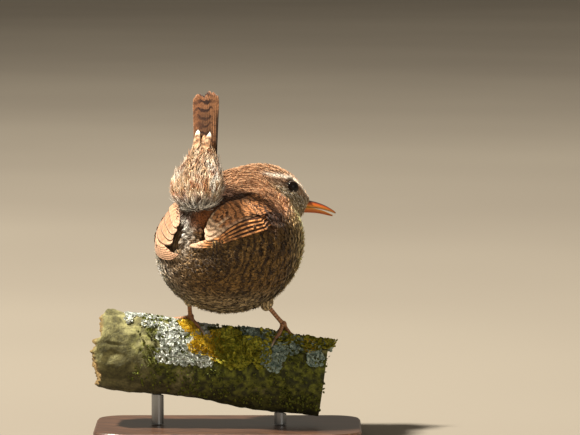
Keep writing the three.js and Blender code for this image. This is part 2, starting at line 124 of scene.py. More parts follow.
heading = np.array([-np.sin(HEAD_TURN), -np.cos(HEAD_TURN), 0])
level = np.cross(heading, UPRIGHT)
HEAD_F = heading * np.cos(HEAD_DROP) - UPRIGHT * np.sin(HEAD_DROP)
crown = np.cross(level, HEAD_F)
HEAD_S = level * np.cos(HEAD_ROLL) + crown * np.sin(HEAD_ROLL)
HEAD_H = np.cross(HEAD_S, HEAD_F)
HEAD_AXES = np.stack([HEAD_F, HEAD_S, HEAD_H])


def head_point(forwards, right, up):
    """A point given from midway between the eyes, along the bill, to the bird's right and up."""
    return (
        TRUNK_CENTRE
        + HEAD_PLACE
        + np.multiply.outer(forwards, HEAD_F)
        + np.multiply.outer(right, HEAD_S)
        + np.multiply.outer(up, HEAD_H)
    )


def in_head(points):
    """Points measured from midway between the eyes: forwards, right and up."""
    return (points - TRUNK_CENTRE - HEAD_PLACE) @ HEAD_AXES.T


TAIL_ROOT = from_trunk(-3, 18.7, 12)
TAIL_TIP = from_trunk(-0.6, 14.4, 49.6)
TAIL_UP = unit(TAIL_TIP - TAIL_ROOT)
TAIL_BACK = unit(np.cross(TAIL_UP, [1.0, 0, 0]))
TAIL_ACROSS = np.cross(TAIL_BACK, TAIL_UP)
TAIL_AXES = np.stack([TAIL_ACROSS, TAIL_BACK, TAIL_UP])


def tail_point(up, across, back):
    """A point given from the tail's root: up its length, to its left and out of its underside."""
    return (
        TAIL_ROOT
        + np.multiply.outer(up, TAIL_UP)
        + np.multiply.outer(across, TAIL_ACROSS)
        + np.multiply.outer(back, TAIL_BACK)
    )


WORLD = np.eye(3)
# A form is a smooth union of ellipsoids: centre, half sizes, directions and width of the melt
BODY = [
    (from_trunk(0, 0, -2.5), [22.4, 24.5, 19.8], WORLD, 0),
    (from_trunk(-1, -12, 2), [17.3, 12.8, 14.5], WORLD, 6),
    (from_trunk(0, 15.5, 8.5), [9, 6.5, 7], WORLD, 6),
    (from_trunk(0.7, -9.8, 12.5), [12.4, 13.8, 11], WORLD, 6),
    (head_point(-4.6, 0, -1.1), [10.6, 8, 6.5], HEAD_AXES, 4),
    (head_point(0.4, 0, -4.8), [7.2, 5.2, 4.2], HEAD_AXES, 4),
    (head_point(4.7, 0, -1.7), [4.6, 2.6, 2.6], HEAD_AXES, 3),
]
COVERTS = [
    (tail_point(7, 0.9, 3.4), [8.9, 6.2, 7.9], TAIL_AXES, 0),
    (tail_point(13, 0.4, 1.4), [5.6, 3.8, 7.6], TAIL_AXES, 3),
]
INNER = from_trunk(-2, -11, 9)
COVERTS_MIDDLE = tail_point(8.5, 0.7, 2.4)
FACE_WAY = unit(head_point(7.9, 0, -2) - INNER)
VENT = from_trunk(-0.8, 24.2, 1.5)


def away(points, form):
    """Distance from a form, melted together from each ellipsoid's k * (k - 1) / |l / r^2|, with k = |l / r|.

    l is the point in the ellipsoid's own directions and r its half sizes.
    """
    nearest = None
    for centre, radii, axes, melt in form:
        local = (points - centre) @ np.asarray(axes).T
        size = np.linalg.norm(local / radii, axis=-1)
        slope = np.linalg.norm(local / np.square(radii), axis=-1)
        distance = size * (size - 1) / np.maximum(slope, 1e-9)
        if nearest is None:
            nearest = distance
            continue
        overlap = np.maximum(0, melt - np.abs(distance - nearest)) / melt
        nearest = np.minimum(distance, nearest) - overlap**2 * melt / 4
    return nearest


def outwards(points, form):
    """The direction straight out of a form: the slope of its distance, taken over 0.05 mm each way."""
    steps = 0.05 * WORLD
    slope = [away(points + step, form) - away(points - step, form) for step in steps]
    return unit(np.stack(slope, axis=-1))


def settle(points, form, height, rounds=3):
    """Points moved straight to the surface that lies a height above a form."""
    for _ in range(rounds):
        points = points + outwards(points, form) * (height - away(points, form))[..., None]
    return points


RAY_START = 12.0
RAY_STEPS = 14


def shine_out(middle, ways, form, height):
    """Where rays from a middle meet the surface a height above a form, each step 0.85 of the way left."""
    reach = np.full(ways.shape[:-1], RAY_START)
    for _ in range(RAY_STEPS):
        reach = reach - 0.85 * (away(middle + ways * reach[..., None], form) - height)
    return middle + ways * reach[..., None]


def combed(way, normals):
    """Directions laid flat on the surface that has these normals."""
    return unit(way - normals * along(way, normals))


def sphere_ways(axis, tilt, columns, hint):
    """Directions at angles of tilt from an axis, on rings of columns; hint sets where each ring starts."""
    aside = unit(np.cross(axis, hint))
    beside = np.cross(axis, aside)
    turn = np.arange(columns) * 2 * np.pi / columns
    ring = np.multiply.outer(np.cos(turn), aside) + np.multiply.outer(np.sin(turn), beside)
    return np.cos(tilt)[:, None, None] * axis + np.sin(tilt)[:, None, None] * ring[None]


# Meshes


def grid_faces(rows, columns, closed=True):
    """Quads between the points of a grid, its columns joined in a ring when closed."""
    row = np.arange(rows - 1)[:, None]
    column = np.arange(columns if closed else columns - 1)[None, :]
    after = (column + 1) % columns
    quads = [row * columns + column, (row + 1) * columns + column]
    quads += [(row + 1) * columns + after, row * columns + after]
    return np.stack([np.broadcast_to(q, (rows - 1, column.size)) for q in quads], -1).reshape(-1, 4)


def split_faces(corner, size):
    """A mesh's corners parted into quads and triangles."""
    start = np.concatenate([[0], np.cumsum(size)[:-1]])
    four = start[size == 4][:, None] + np.arange(4)
    three = start[size == 3][:, None] + np.arange(3)
    return corner[four].reshape(-1, 4), corner[three].reshape(-1, 3)


def cap_faces(rows, columns):
    """Triangles that close a tube's first and last ring, fanned from each ring's first point."""
    j = np.arange(1, columns - 1)
    zero = np.zeros_like(j)
    last = (rows - 1) * columns
    return np.concatenate([np.stack([zero, j, j + 1], -1), np.stack([zero, j + 1, j], -1) + last])


def tube_faces(rows, columns, count):
    """Quads and end triangles of count tubes, each of rows rings of columns points."""
    shift = (np.arange(count) * rows * columns)[:, None, None]
    quads = (grid_faces(rows, columns)[None] + shift).reshape(-1, 4)
    ends = (cap_faces(rows, columns)[None] + shift).reshape(-1, 3)
    return quads, ends


def make_piece(name, points, quads, ends, material, slot_name):
    """A mesh object from millimetre points, quads and triangles, riding on the root body."""
    points = np.asarray(points, float).reshape(-1, 3)
    mesh = bpy.data.meshes.new(name)
    mesh.vertices.add(len(points))
    mesh.vertices.foreach_set("co", (points * MM).astype(np.float32).ravel())
    corners = np.concatenate([np.ravel(quads), np.ravel(ends)]).astype(np.int32)
    sizes = np.concatenate([np.full(len(quads), 4), np.full(len(ends), 3)]).astype(np.int32)
    mesh.loops.add(len(corners))
    mesh.loops.foreach_set("vertex_index", corners)
    mesh.polygons.add(len(sizes))
    starts = np.concatenate([[0], np.cumsum(sizes)[:-1]]).astype(np.int32)
    mesh.polygons.foreach_set("loop_start", starts)
    mesh.polygons.foreach_set("use_smooth", np.full(len(sizes), True))
    mesh.update(calc_edges=True)
    mesh.materials.append(material)
    piece = bpy.data.objects.new(name, mesh)
    bpy.context.scene.collection.objects.link(piece)
    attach(piece, "root")
    return piece


def closed_piece(name, grids, material, slot_name):
    """One piece from several closed grids of rings, each capped at both ends, all facing out."""
    points, quads, ends, count = [], [], [], 0
    for grid in grids:
        rows, columns = grid.shape[:2]
        face, cap = grid_faces(rows, columns), cap_faces(rows, columns)
        flat = grid.reshape(-1, 3)
        a, b, c = (flat[face[:, i]] - flat.mean(0) for i in (0, 1, 2))
        if np.sum(a * np.cross(b, c)) < 0:
            face, cap = face[:, ::-1], cap[:, ::-1]
        quads.append(face + count)
        ends.append(cap + count)
        points.append(flat)
        count += len(flat)
    mesh_parts = (np.concatenate(part) for part in (points, quads, ends))
    return make_piece(name, *mesh_parts, material, slot_name)


def set_map(piece, name, places, render=False):
    """A UV map from one place for each vertex."""
    mesh = piece.data
    layer = mesh.uv_layers.new(name=name)
    corner = np.zeros(len(mesh.loops), np.int32)
    mesh.loops.foreach_get("vertex_index", corner)
    layer.data.foreach_set("uv", np.asarray(places, np.float32).reshape(-1, 2)[corner].ravel())
    if render:
        layer.active_render = True
        mesh.uv_layers.active = layer


def set_markings(piece, ground, mark, bars):
    """The coat's own attributes: ground colour, colour of the marks, and (phase, strength, seed)."""
    mesh = piece.data
    for name, colour in (("Ground", ground), ("Mark", mark)):
        flat = np.ones((len(mesh.vertices), 4), np.float32)
        flat[:, :3] = np.asarray(colour).reshape(-1, 3)
        mesh.attributes.new(name, "FLOAT_COLOR", "POINT").data.foreach_set("color", flat.ravel())
    flat = np.asarray(bars, np.float32).reshape(-1, 3)
    mesh.attributes.new("Bars", "FLOAT_VECTOR", "POINT").data.foreach_set("vector", flat.ravel())


# Colours and nodes


def linear(code):
    """A linear colour from an sRGB hex code."""
    value = np.array([int(code[i : i + 2], 16) / 255 for i in (1, 3, 5)])
    return np.where(value <= 0.04045, value / 12.92, ((value + 0.055) / 1.055) ** 2.4)


def paint(code):
    """The same with an alpha of 1, for a node's colour socket."""
    return (*linear(code), 1.0)


def connect(node, **links):
    """Gives a node's sockets, by name or by number as i0, a value, an output or a node's first output."""
    for key, value in links.items():
        numbered = key[0] == "i" and key[1:].isdigit()
        socket = node.inputs[int(key[1:]) if numbered else key.replace("_", " ")]
        if isinstance(value, bpy.types.Node):
            value = value.outputs[0]
        if isinstance(value, bpy.types.NodeSocket):
            node.id_data.links.new(value, socket)
        else:
            socket.default_value = value


def add(tree, kind, settings=None, stops=(), **links):
    """One node of a kind, with its own settings, its stops of place and sRGB colour, and its links."""
    node = tree.nodes.new(kind)
    for key, value in (settings or {}).items():
        setattr(node, key, value)
    if stops:
        elements = node.color_ramp.elements
        while len(elements) < len(stops):
            elements.new(0.5)
        for element, (place, code) in zip(elements, stops):
            element.position = place
            element.color = paint(code)
    connect(node, **links)
    return node


def in_mm(size):
    """The scale that gives a pattern a size in millimetres."""
    return 1 / (size * MM)


def new_material(name, **surface):
    """A material with one main shader, its sockets set by name. Returns it, its tree and the shader."""
    material = bpy.data.materials.new(name)
    material.use_nodes = True
    tree = material.node_tree
    shader = tree.nodes["Principled BSDF"]
    for key, value in surface.items():
        shader.inputs[key.replace("_", " ")].default_value = value
    return material, tree, shader


def mottled(name, low, high, grain_mm, detail=2.0, relief=0.0, depth_mm=0.0, **surface):
    """A material mottled from one colour to another at a grain size, its relief following the mottling."""
    material, tree, shader = new_material(name, **surface)
    place = add(tree, "ShaderNodeTexCoord").outputs["Object"]
    cloud = add(tree, "ShaderNodeTexNoise", Vector=place, Scale=in_mm(grain_mm), Detail=detail)
    colour = add(tree, "ShaderNodeValToRGB", stops=[(0.3, low), (0.7, high)], Fac=cloud)
    connect(shader, Base_Color=colour)
    if relief:
        bump = add(tree, "ShaderNodeBump", Strength=relief, Distance=depth_mm * MM, Height=cloud)
        connect(shader, Normal=bump)
    return material


def plumage(name, barb_mm, gloss, relief):
    """Keratin vanes: matt, finely hatched by barbs at a slant to the shaft, barred by the markings."""
    material, tree, shader = new_material(
        name, Roughness=gloss, IOR=1.5, Sheen_Weight=0.12, Sheen_Roughness=0.4, Specular_IOR_Level=0.3
    )
    ground = add(tree, "ShaderNodeAttribute", {"attribute_name": "Ground"})
    mark = add(tree, "ShaderNodeAttribute", {"attribute_name": "Mark"})
    bars = add(tree, "ShaderNodeAttribute", {"attribute_name": "Bars"}).outputs["Vector"]
    phase, strength, seed = add(tree, "ShaderNodeSeparateXYZ", Vector=bars).outputs
    place = add(tree, "ShaderNodeTexCoord").outputs["Object"]
    # The bars waver: a 1.7 mm cloud shifts their phase by up to half a bar
    cloud = add(tree, "ShaderNodeTexNoise", Vector=place, Scale=in_mm(5 / 3), Detail=3.0)
    shift = add(tree, "ShaderNodeMath", {"operation": "MULTIPLY_ADD"}, i0=cloud, i1=0.5, i2=phase)
    turn = add(tree, "ShaderNodeMath", {"operation": "MULTIPLY"}, i0=shift, i1=2 * np.pi)
    wave = add(tree, "ShaderNodeMath", {"operation": "SINE"}, i0=turn)
    smooth = {"interpolation_type": "SMOOTHSTEP"}
    edge = add(tree, "ShaderNodeMapRange", smooth, Value=wave, From_Min=-0.2, From_Max=0.65)
    barred = add(tree, "ShaderNodeMath", {"operation": "MULTIPLY"}, i0=edge, i1=strength)
    colour = add(tree, "ShaderNodeMix", {"data_type": "RGBA"}, Factor=barred, i6=ground, i7=mark)
    # Barbs: noise stretched along lines that slant 45 degrees from the shaft
    vane = add(tree, "ShaderNodeUVMap", {"uv_map": "Vane"})
    across_vane, down_vane, _ = add(tree, "ShaderNodeSeparateXYZ", Vector=vane).outputs
    aside = add(tree, "ShaderNodeMath", {"operation": "ABSOLUTE"}, i0=across_vane)
    slant = add(tree, "ShaderNodeMath", {"operation": "SUBTRACT"}, i0=down_vane, i1=aside)
    across = add(tree, "ShaderNodeMath", {"operation": "MULTIPLY"}, i0=slant, i1=1 / barb_mm)
    down = add(tree, "ShaderNodeMath", {"operation": "MULTIPLY"}, i0=across_vane, i1=0.45 / barb_mm)
    hatch = add(tree, "ShaderNodeCombineXYZ", X=across, Y=down, Z=seed)
    barb = add(tree, "ShaderNodeTexNoise", Vector=hatch, Scale=1.0, Detail=2.0)
    tone = add(tree, "ShaderNodeMapRange", Value=barb, From_Min=0.3, From_Max=0.7, To_Min=0.5, To_Max=1.45)
    hatched = add(tree, "ShaderNodeVectorMath", {"operation": "SCALE"}, i0=colour.outputs[2], Scale=tone)
    bump = add(tree, "ShaderNodeBump", Strength=relief, Distance=0.1 * MM, Height=barb)
    connect(shader, Base_Color=hatched, Normal=bump)
    return material


# Loose contour feathers: soft keratin with wide-set barbs, drawn 0.35 mm apart to show at this size
CONTOUR = plumage("contour_feather_keratin", 0.35, 0.75, 0.7)
# Wing and tail quills: zipped barbs give a smoother vane with a low sheen
QUILL = plumage("quill_feather_keratin", 0.3, 0.55, 0.45)


# Markings

# Mantle brown: partly its own darker brown, mostly painted shade where the tail's shadow falls on it
MANTLE_SHADED = linear("#5a3921")
RUMP = linear("#b8703c")
CROWN_BROWN = linear("#b57e52")
STREAK_PALE = linear("#edc59c")
CHEEK_STREAK = linear("#f6eee0")
CHEEK = linear("#7a5d3a")
CHEEK_PALE = linear("#dccaa4")
LORES = linear("#3e2e1c")
BROW = linear("#f8f0e0")
THROAT = linear("#dec699")
BREAST = linear("#e6cc96")
BELLY = linear("#8d6b3a")
BELLY_PALE = linear("#e4cc9e")
BELLY_GREY = linear("#f2e6d2")
VENT_PALE = linear("#f0e8da")
DARK_BAR = linear("#2c1c11")
WARM_BAR = linear("#54301b")
DOWN_GREY = linear("#453d38")

# Soft patches of the coat, each given by its middle and its sizes
# Painted shade on the belly under the tip of the right wing, its darkest part
BELLY_SHADE_UNDER_WING = (from_trunk(-8, 22, -3.5), [9, 7, 5.5])
# Painted shade in the gap where the belly feathers part
PARTING_SHADE = (from_trunk(-11.7, 14.5, -15.2), [4.5, 5, 1.2])
# Painted shade on the shoulder in front of the right wing
SHOULDER_SHADE = (from_trunk(-20.5, 2.5, 6), [5, 7, 6])
# The smooth rump between the wings, and the down beside it
RUMP_PLACE = (from_trunk(-4.2, 22.4, 9.4), [2.4, 3, 3.4])
DOWN_PLACE = (from_trunk(0.6, 23.2, 6), [3.4, 4, 7.5])
# The pale greyish left side of the belly: partly its own pale grey, partly painted light on the side the
# light falls on
LEFT_LOW_LIT = (from_trunk(17, 12, -9), [11, 14, 13])
# Where the coat is fluffed up between the wings
FLUFFED = (from_trunk(-0.6, 23.2, 9), [3.6, 5, 6])
# The bars are (BAR_START + reach) / BAR_COUNT mm apart at a reach from the vent
BAR_START = 12.4
BAR_COUNT = 13.3


def patch(points, middle, sizes):
    """A soft round patch: the bell of the distance from its middle, in shares of its sizes."""
    return bell(np.linalg.norm((points - middle) / sizes, axis=-1), 0, 1)


def head_stripes(forwards, right, up):
    """The pale brow, the dark line over it and the dark stripe through the eye, each a bell of its height.

    Their middle lines rise or fall from the eye forwards and drop behind it.
    """
    behind = forwards + 1
    brow_line = np.where(behind > 0, 3.1 - 0.04 * behind**2, 3.1 + 0.33 * behind)
    brow = bell(up, brow_line, 0.85) * ramp(forwards, -14, -9) * ramp(-forwards, -8.5, -6)
    brow = brow * ramp(np.abs(right), 1.0, 2.6)
    over_brow = bell(up, brow_line + 1.5, 0.6) * ramp(forwards, -9, -5) * ramp(-forwards, -4, -2)
    over_brow = over_brow * ramp(np.abs(right), 1.5, 3.0)
    eye_line = np.where(behind > 0, 0.1, 0.1 + 0.22 * behind)
    stripe = bell(up, eye_line + 0.3, 1.25) * ramp(forwards, -11, -7) * ramp(-forwards, -1, 1.5)
    stripe = stripe * ramp(np.abs(right), 1.5, 3.5)
    return brow, over_brow, stripe


def markings(points, jitter):
    """Ground colour, mark colour, phase and strength of the coat at points, from bands round the bird.

    jitter is each feather's own tone, and the highest ones turn it into a pale streak. The bars are
    rings round the vent, 0.9 mm apart near it and 2.8 mm apart 25 mm away.
    """
    at = points - TRUNK_CENTRE
    head = in_head(points)
    f, s, h = head[..., 0], head[..., 1], head[..., 2]
    on_head = ramp(-np.linalg.norm(head + [3, 0, 0], axis=-1), -15, -9)
    wander = 1.2 * lattice(points, 3.0, 3)
    cheek_line = np.where(f > -1, 0.2, 0.2 + 0.28 * (f + 1))
    upper_head = ramp(h - cheek_line + 0.8 * lattice(points, 0.5, 4), -2.0, 1.2)
    upper_trunk = ramp(at[..., 2] + wander - blend(12, 5, ramp(at[..., 1], -16, 5)), -2.5, 3.5)
    upper = blend(upper_trunk, upper_head, on_head)[..., None]
    # The pale nape ends where y = 3.2 - 0.0006 |x|^3, and the mantle behind it is darker: partly its own
    # darker brown, mostly painted shade where the tail's shadow falls
    behind_nape = at[..., 1] - 3.2 + 0.0006 * np.abs(at[..., 0]) ** 3
    back = ramp(behind_nape + 0.8 * lattice(points, 1.0, 6), -0.8, 0.8)[..., None]
    low = ramp(-at[..., 2], -4, 9)[..., None]
    rear = ramp(at[..., 1], -14, 2)[..., None]
    under = blend(BREAST, BELLY, rear)
    under = blend(under, BELLY_PALE, 0.65 * low * ramp(-at[..., 2], 12, 20)[..., None])
    # Painted light: the left side of the belly, where the light falls, is paler grey
    left_low_lit = patch(points, *LEFT_LOW_LIT)
    under = blend(under, BELLY_GREY, 0.95 * left_low_lit[..., None])
    cheek = blend(CHEEK, CHEEK_PALE, 0.5 + 0.5 * lattice(points, 0.7, 8)[..., None])
    under = blend(under, cheek, (on_head * ramp(h, -6.5, -3.5))[..., None])
    under = blend(under, THROAT, (on_head * ramp(-h, 2.8, 5.5) * ramp(f, -3, 2))[..., None])
    top = blend(CROWN_BROWN, MANTLE_SHADED, back)
    ground = blend(under, top, upper)
    brow, over_brow, stripe = head_stripes(f, s, h)
    ground = blend(ground, BROW, (brow * on_head)[..., None])
    ground = blend(ground, LORES, (0.55 * over_brow * on_head)[..., None])
    ground = blend(ground, LORES, (0.85 * stripe * on_head)[..., None])
    # Vent and down between the wings
    vent = patch(points, *DOWN_PLACE)[..., None]
    downy = blend(DOWN_GREY, VENT_PALE, ramp(lattice(points, 0.9, 5), -0.15, 0.3)[..., None])
    ground = blend(ground, downy, vent)
    ground = blend(ground, RUMP, patch(points, *RUMP_PLACE)[..., None])
    # Painted shade darkens the belly under the right wing's tip, the parting of the belly feathers and the
    # shoulder
    shade = 0.62 * patch(points, *BELLY_SHADE_UNDER_WING)
    shade = shade + 0.6 * patch(points, *PARTING_SHADE)
    shade = shade + 0.5 * patch(points, *SHOULDER_SHADE)
    ground = ground * (1 - np.clip(shade, 0, 0.75))[..., None]
    # The palest wisps are streaks: pinkish buff on crown and nape, whitish on the cheeks
    streaked = np.maximum(on_head[..., None], 0.65 * upper * (1 - back))
    streak = blend(blend(STREAK_PALE, CHEEK_STREAK, 1 - upper), ground * 1.5, 1 - 0.9 * streaked)
    streak = blend(streak, ground, (0.7 * np.clip(stripe + brow, 0, 1) * on_head)[..., None])
    even = 0.75 * np.clip(brow + 0.6 * stripe, 0, 1)[..., None] * on_head[..., None]
    ground = blend(np.minimum(ground * blend(jitter, 1.0, even), 0.85), streak, ramp(jitter, 1.5, 1.9))
    mark = blend(DARK_BAR, WARM_BAR, upper)
    reach = np.linalg.norm(points - VENT, axis=-1)
    phase = BAR_COUNT * np.log(1 + reach / BAR_START)
    phase = phase + 0.5 * lattice(points, 2.2, 11) + 0.9 * lattice(points, 7.0, 12)
    strength = blend(1.1 * ramp(at[..., 1], -17, -3), 0.3, upper[..., 0])
    strength = strength * (1 - 0.85 * np.clip(brow + vent[..., 0], 0, 1)) * (1 - 0.8 * on_head)
    strength = strength * (0.72 + 0.28 * lattice(points, 1.3, 13)) * (1 - 0.55 * left_low_lit)
    return ground, mark, phase, strength


# Skin and down under the coat: matt, in the coat's own colours, so that no gap between feathers shows
MATT_SKIN = plumage("downy_skin", 0.5, 0.85, 0.4)
SKIN_UNDER_TAIL = linear("#6a5646")
SKIN_VOXEL_MM = 0.55
# How far over each heel the middle of the skin of the thigh is
THIGH_LIFT = 0.8
# Each thigh: its heel, half sizes of its skin and of its coat, and the height of the coat's middle over it
THIGHS = {
    "left": {"heel": (9, 9.2, -16.8), "skin": [1.9, 1.9, 3.7], "coat": [2.3, 2.3, 4.2], "lift": 0.8},
    "right": {"heel": (-11.6, -4.6, -19.4), "skin": [2.0, 2.0, 3.0], "coat": [2.4, 2.4, 3.4], "lift": 1.0},
}


def shell(form, height, middle, axis, rows, columns):
    """A closed shell a height above a form: rays from its middle on rings of angle from an axis."""
    tilt = np.linspace(0.004, 1, rows) * (np.pi - 0.01)
    return shine_out(middle, sphere_ways(axis, tilt, columns, [0.3, 0.9, 0.1]), form, height)


def skin_piece():
    """Body, tail base and thighs as closed shells, fused by a voxel remesh into one skin."""
    shells = [shell(BODY, -1.0, INNER, FACE_WAY, 90, 120)]
    shells.append(shell(COVERTS, -1.7, COVERTS_MIDDLE, TAIL_UP, 50, 60))
    for thigh in THIGHS.values():
        middle = from_trunk(*thigh["heel"]) + [0, 0, THIGH_LIFT]
        shells.append(shell([(middle, thigh["skin"], WORLD, 0)], 0, middle, UPRIGHT, 24, 28))
    raw = closed_piece("raw_skin", shells, MATT_SKIN, "belly_feathers")
    fuse = raw.modifiers.new("fuse", "REMESH")
    fuse.mode = "VOXEL"
    fuse.voxel_size = SKIN_VOXEL_MM * MM
    graph = bpy.context.evaluated_depsgraph_get()
    fused = bpy.data.meshes.new_from_object(raw.evaluated_get(graph))
    co = np.zeros(len(fused.vertices) * 3, np.float32)
    fused.vertices.foreach_get("co", co)
    size = np.zeros(len(fused.polygons), np.int32)
    fused.polygons.foreach_get("loop_total", size)
    corner = np.zeros(len(fused.loops), np.int32)
    fused.loops.foreach_get("vertex_index", corner)
    bpy.data.objects.remove(raw)
    points = co.reshape(-1, 3) / MM
    skin = make_piece("wren_skin", points, *split_faces(corner, size), MATT_SKIN, "belly_feathers")
    ground, mark, phase, strength = markings(points, 0.8)
    on_tail = ramp(away(points, COVERTS) - away(points, BODY), 0.5, -0.5)[:, None]
    ground = blend(ground, SKIN_UNDER_TAIL, on_tail)
    set_markings(skin, ground, mark, np.stack([phase, strength, 0 * phase], -1))
    spin = np.arctan2(points[:, 1] - INNER[1], points[:, 0] - INNER[0])
    set_map(skin, "Vane", np.stack([20 * spin, points[:, 2]], -1), render=True)
    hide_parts("head", "neck", "trunk", "tail_coverts", "thigh_left", "thigh_right")


# Feathers

# A vane's ring goes over its top from edge to edge and has one point under its middle
VANE_ACROSS = np.array([-1, -0.5, 0, 0.5, 1, 0.0])
VANE_LIFT = 0.07 * np.array([0, 0.8, 1.1, 0.8, 0, -0.5])
VANE_CURL = 0.16
# Its width at stations from root to tip, in shares of its half width and its length
VANE_SHAPE = np.array([0.3, 0.8, 1.0, 1.0, 0.9, 0.74, 0.44])
VANE_AT = np.array([0, 0.25, 0.5, 0.72, 0.86, 0.94, 1.0])
# How raggedly each point of its last ring reaches, and where along it the tones change
VANE_FRAY = np.array([1.3, 0.4, 0.8, 0.4, 1.3, 0.8])
TONES_AT = [0, 0.6, 0.86, 0.94, 1.0]
# A wisp is a three-sided needle, widest at its middle
WISP_ACROSS = np.array([-1, 0, 1.0])
WISP_LIFT = 0.05 * np.array([0, 1.0, 0])
WISP_SHAPE = np.array([0.55, 1.0, 0.12])
WISP_AT = np.array([0, 0.5, 1.0])
PLAIN_TIPS = (0.85, 1.0, 1.15)
# Side of each small feather's own patch on the sheet that its colours are baked to
BAKE_PATCH = 0.003


def spread(form, middle, count):
    """Points spread evenly round a form, by a spiral of directions from its middle, each on its surface."""
    n = np.arange(count) + 0.5
    tilt = np.arccos(1 - 2 * n / count)
    turn = np.pi * (1 + 5**0.5) * n
    ways = np.stack([np.cos(turn) * np.sin(tilt), np.sin(turn) * np.sin(tilt), np.cos(tilt)], -1)
    return shine_out(middle, ways, form, 0.0)


def thin_out(points, spacing, seed):
    """Numbers of the points nearest the middle of each cube of a turned grid, so that they lie evenly."""
    turn = np.linalg.qr(np.random.default_rng(seed).normal(size=(3, 3)))[0]
    scaled = points @ turn / spacing
    cell = np.floor(scaled).astype(np.int64)
    order = np.argsort(np.linalg.norm(scaled - cell - 0.5, axis=1))
    row = 4001
    key = cell[order] @ np.array([1, row, row**2])
    return order[np.unique(key, return_index=True)[1]]


def lie_of(points, normals):
    """Which way feathers lie: away from the bill on the head, and in towards the vent or rump behind."""
    at = points - TRUNK_CENTRE
    bill = head_point(9.0, 0, -2.5)
    high = ramp(at[..., 2], 1, 9)[..., None]
    goal = blend(VENT, from_trunk(-2, 22, 12), high)
    from_bill = points - bill
    far = np.linalg.norm(from_bill, axis=-1, keepdims=True)
    on_neck = bell(far, 0, 27)
    way = blend(unit(goal - points), unit(0.35 * UPRIGHT - HEAD_F), on_neck)
    way = way + 1.5 * np.exp(-far / 7) * unit(from_bill)
    # Round each eye the feathers part
    head = in_head(points)
    for side in (-1, 1):
        aside = (head - np.array([0, 5.6 * side, 0.2])) * [1, 0.3, 1]
        push = bell(np.linalg.norm(aside, axis=-1), 0, 2.6)[..., None]
        way = way + 1.4 * push * (unit(aside) @ HEAD_AXES)
    return combed(way, normals)


def patch_places(points, middle, axis):
    """Places of roots on an unwrap of the form: angle round an axis, and equal bands of height along it."""
    aside = unit(np.cross(axis, [0.3, 0.9, 0.1]))
    beside = np.cross(axis, aside)
    way = unit(points - middle)
    round_it = np.arctan2(way @ beside, way @ aside) / (2 * np.pi) + 0.5
    return 0.004 + 0.988 * np.stack([round_it, 0.5 - 0.5 * (way @ axis)], -1)


def vanes(spines, normals, half, across, lift, curl, tilt=0.0):
    """Rings round spines: out to each side by half * across, raised by lift, with edges curled in.

    spines and normals are (count, stations, 3), half is (count, stations) and across and lift (ring).
    tilt raises one edge and lowers the other.
    """
    ahead = unit(np.gradient(spines, axis=1))
    side = unit(np.cross(normals, ahead))
    up = np.cross(ahead, side)
    out = half[:, :, None, None] * across[None, None, :, None]
    curled = curl * half[:, :, None, None] * np.square(across)[None, None, :, None]
    rise = lift[None, None, :, None] - curled + tilt * out
    return spines[:, :, None] + side[:, :, None] * out + up[:, :, None] * rise


def nearest(points, others):
    """How far each point is from the nearest of the others."""
    parts = np.array_split(points.reshape(-1, 3), 40)
    far = [np.linalg.norm(part[:, None] - others[None], axis=-1).min(1) for part in parts]
    return np.concatenate(far).reshape(points.shape[:-1])


def swell(points):
    """How much the coat rises over the wings' front, along their upper edges and between them."""
    over_front = 1.6 * ramp(-nearest(points, WING_FRONT), -5.5, -0.8)
    over_rim = 1.4 * ramp(-nearest(points, WING_RIM), -4.6, -0.8)
    between = 1.5 * patch(points, *FLUFFED)
    return np.maximum(np.maximum(over_front, over_rim), between)


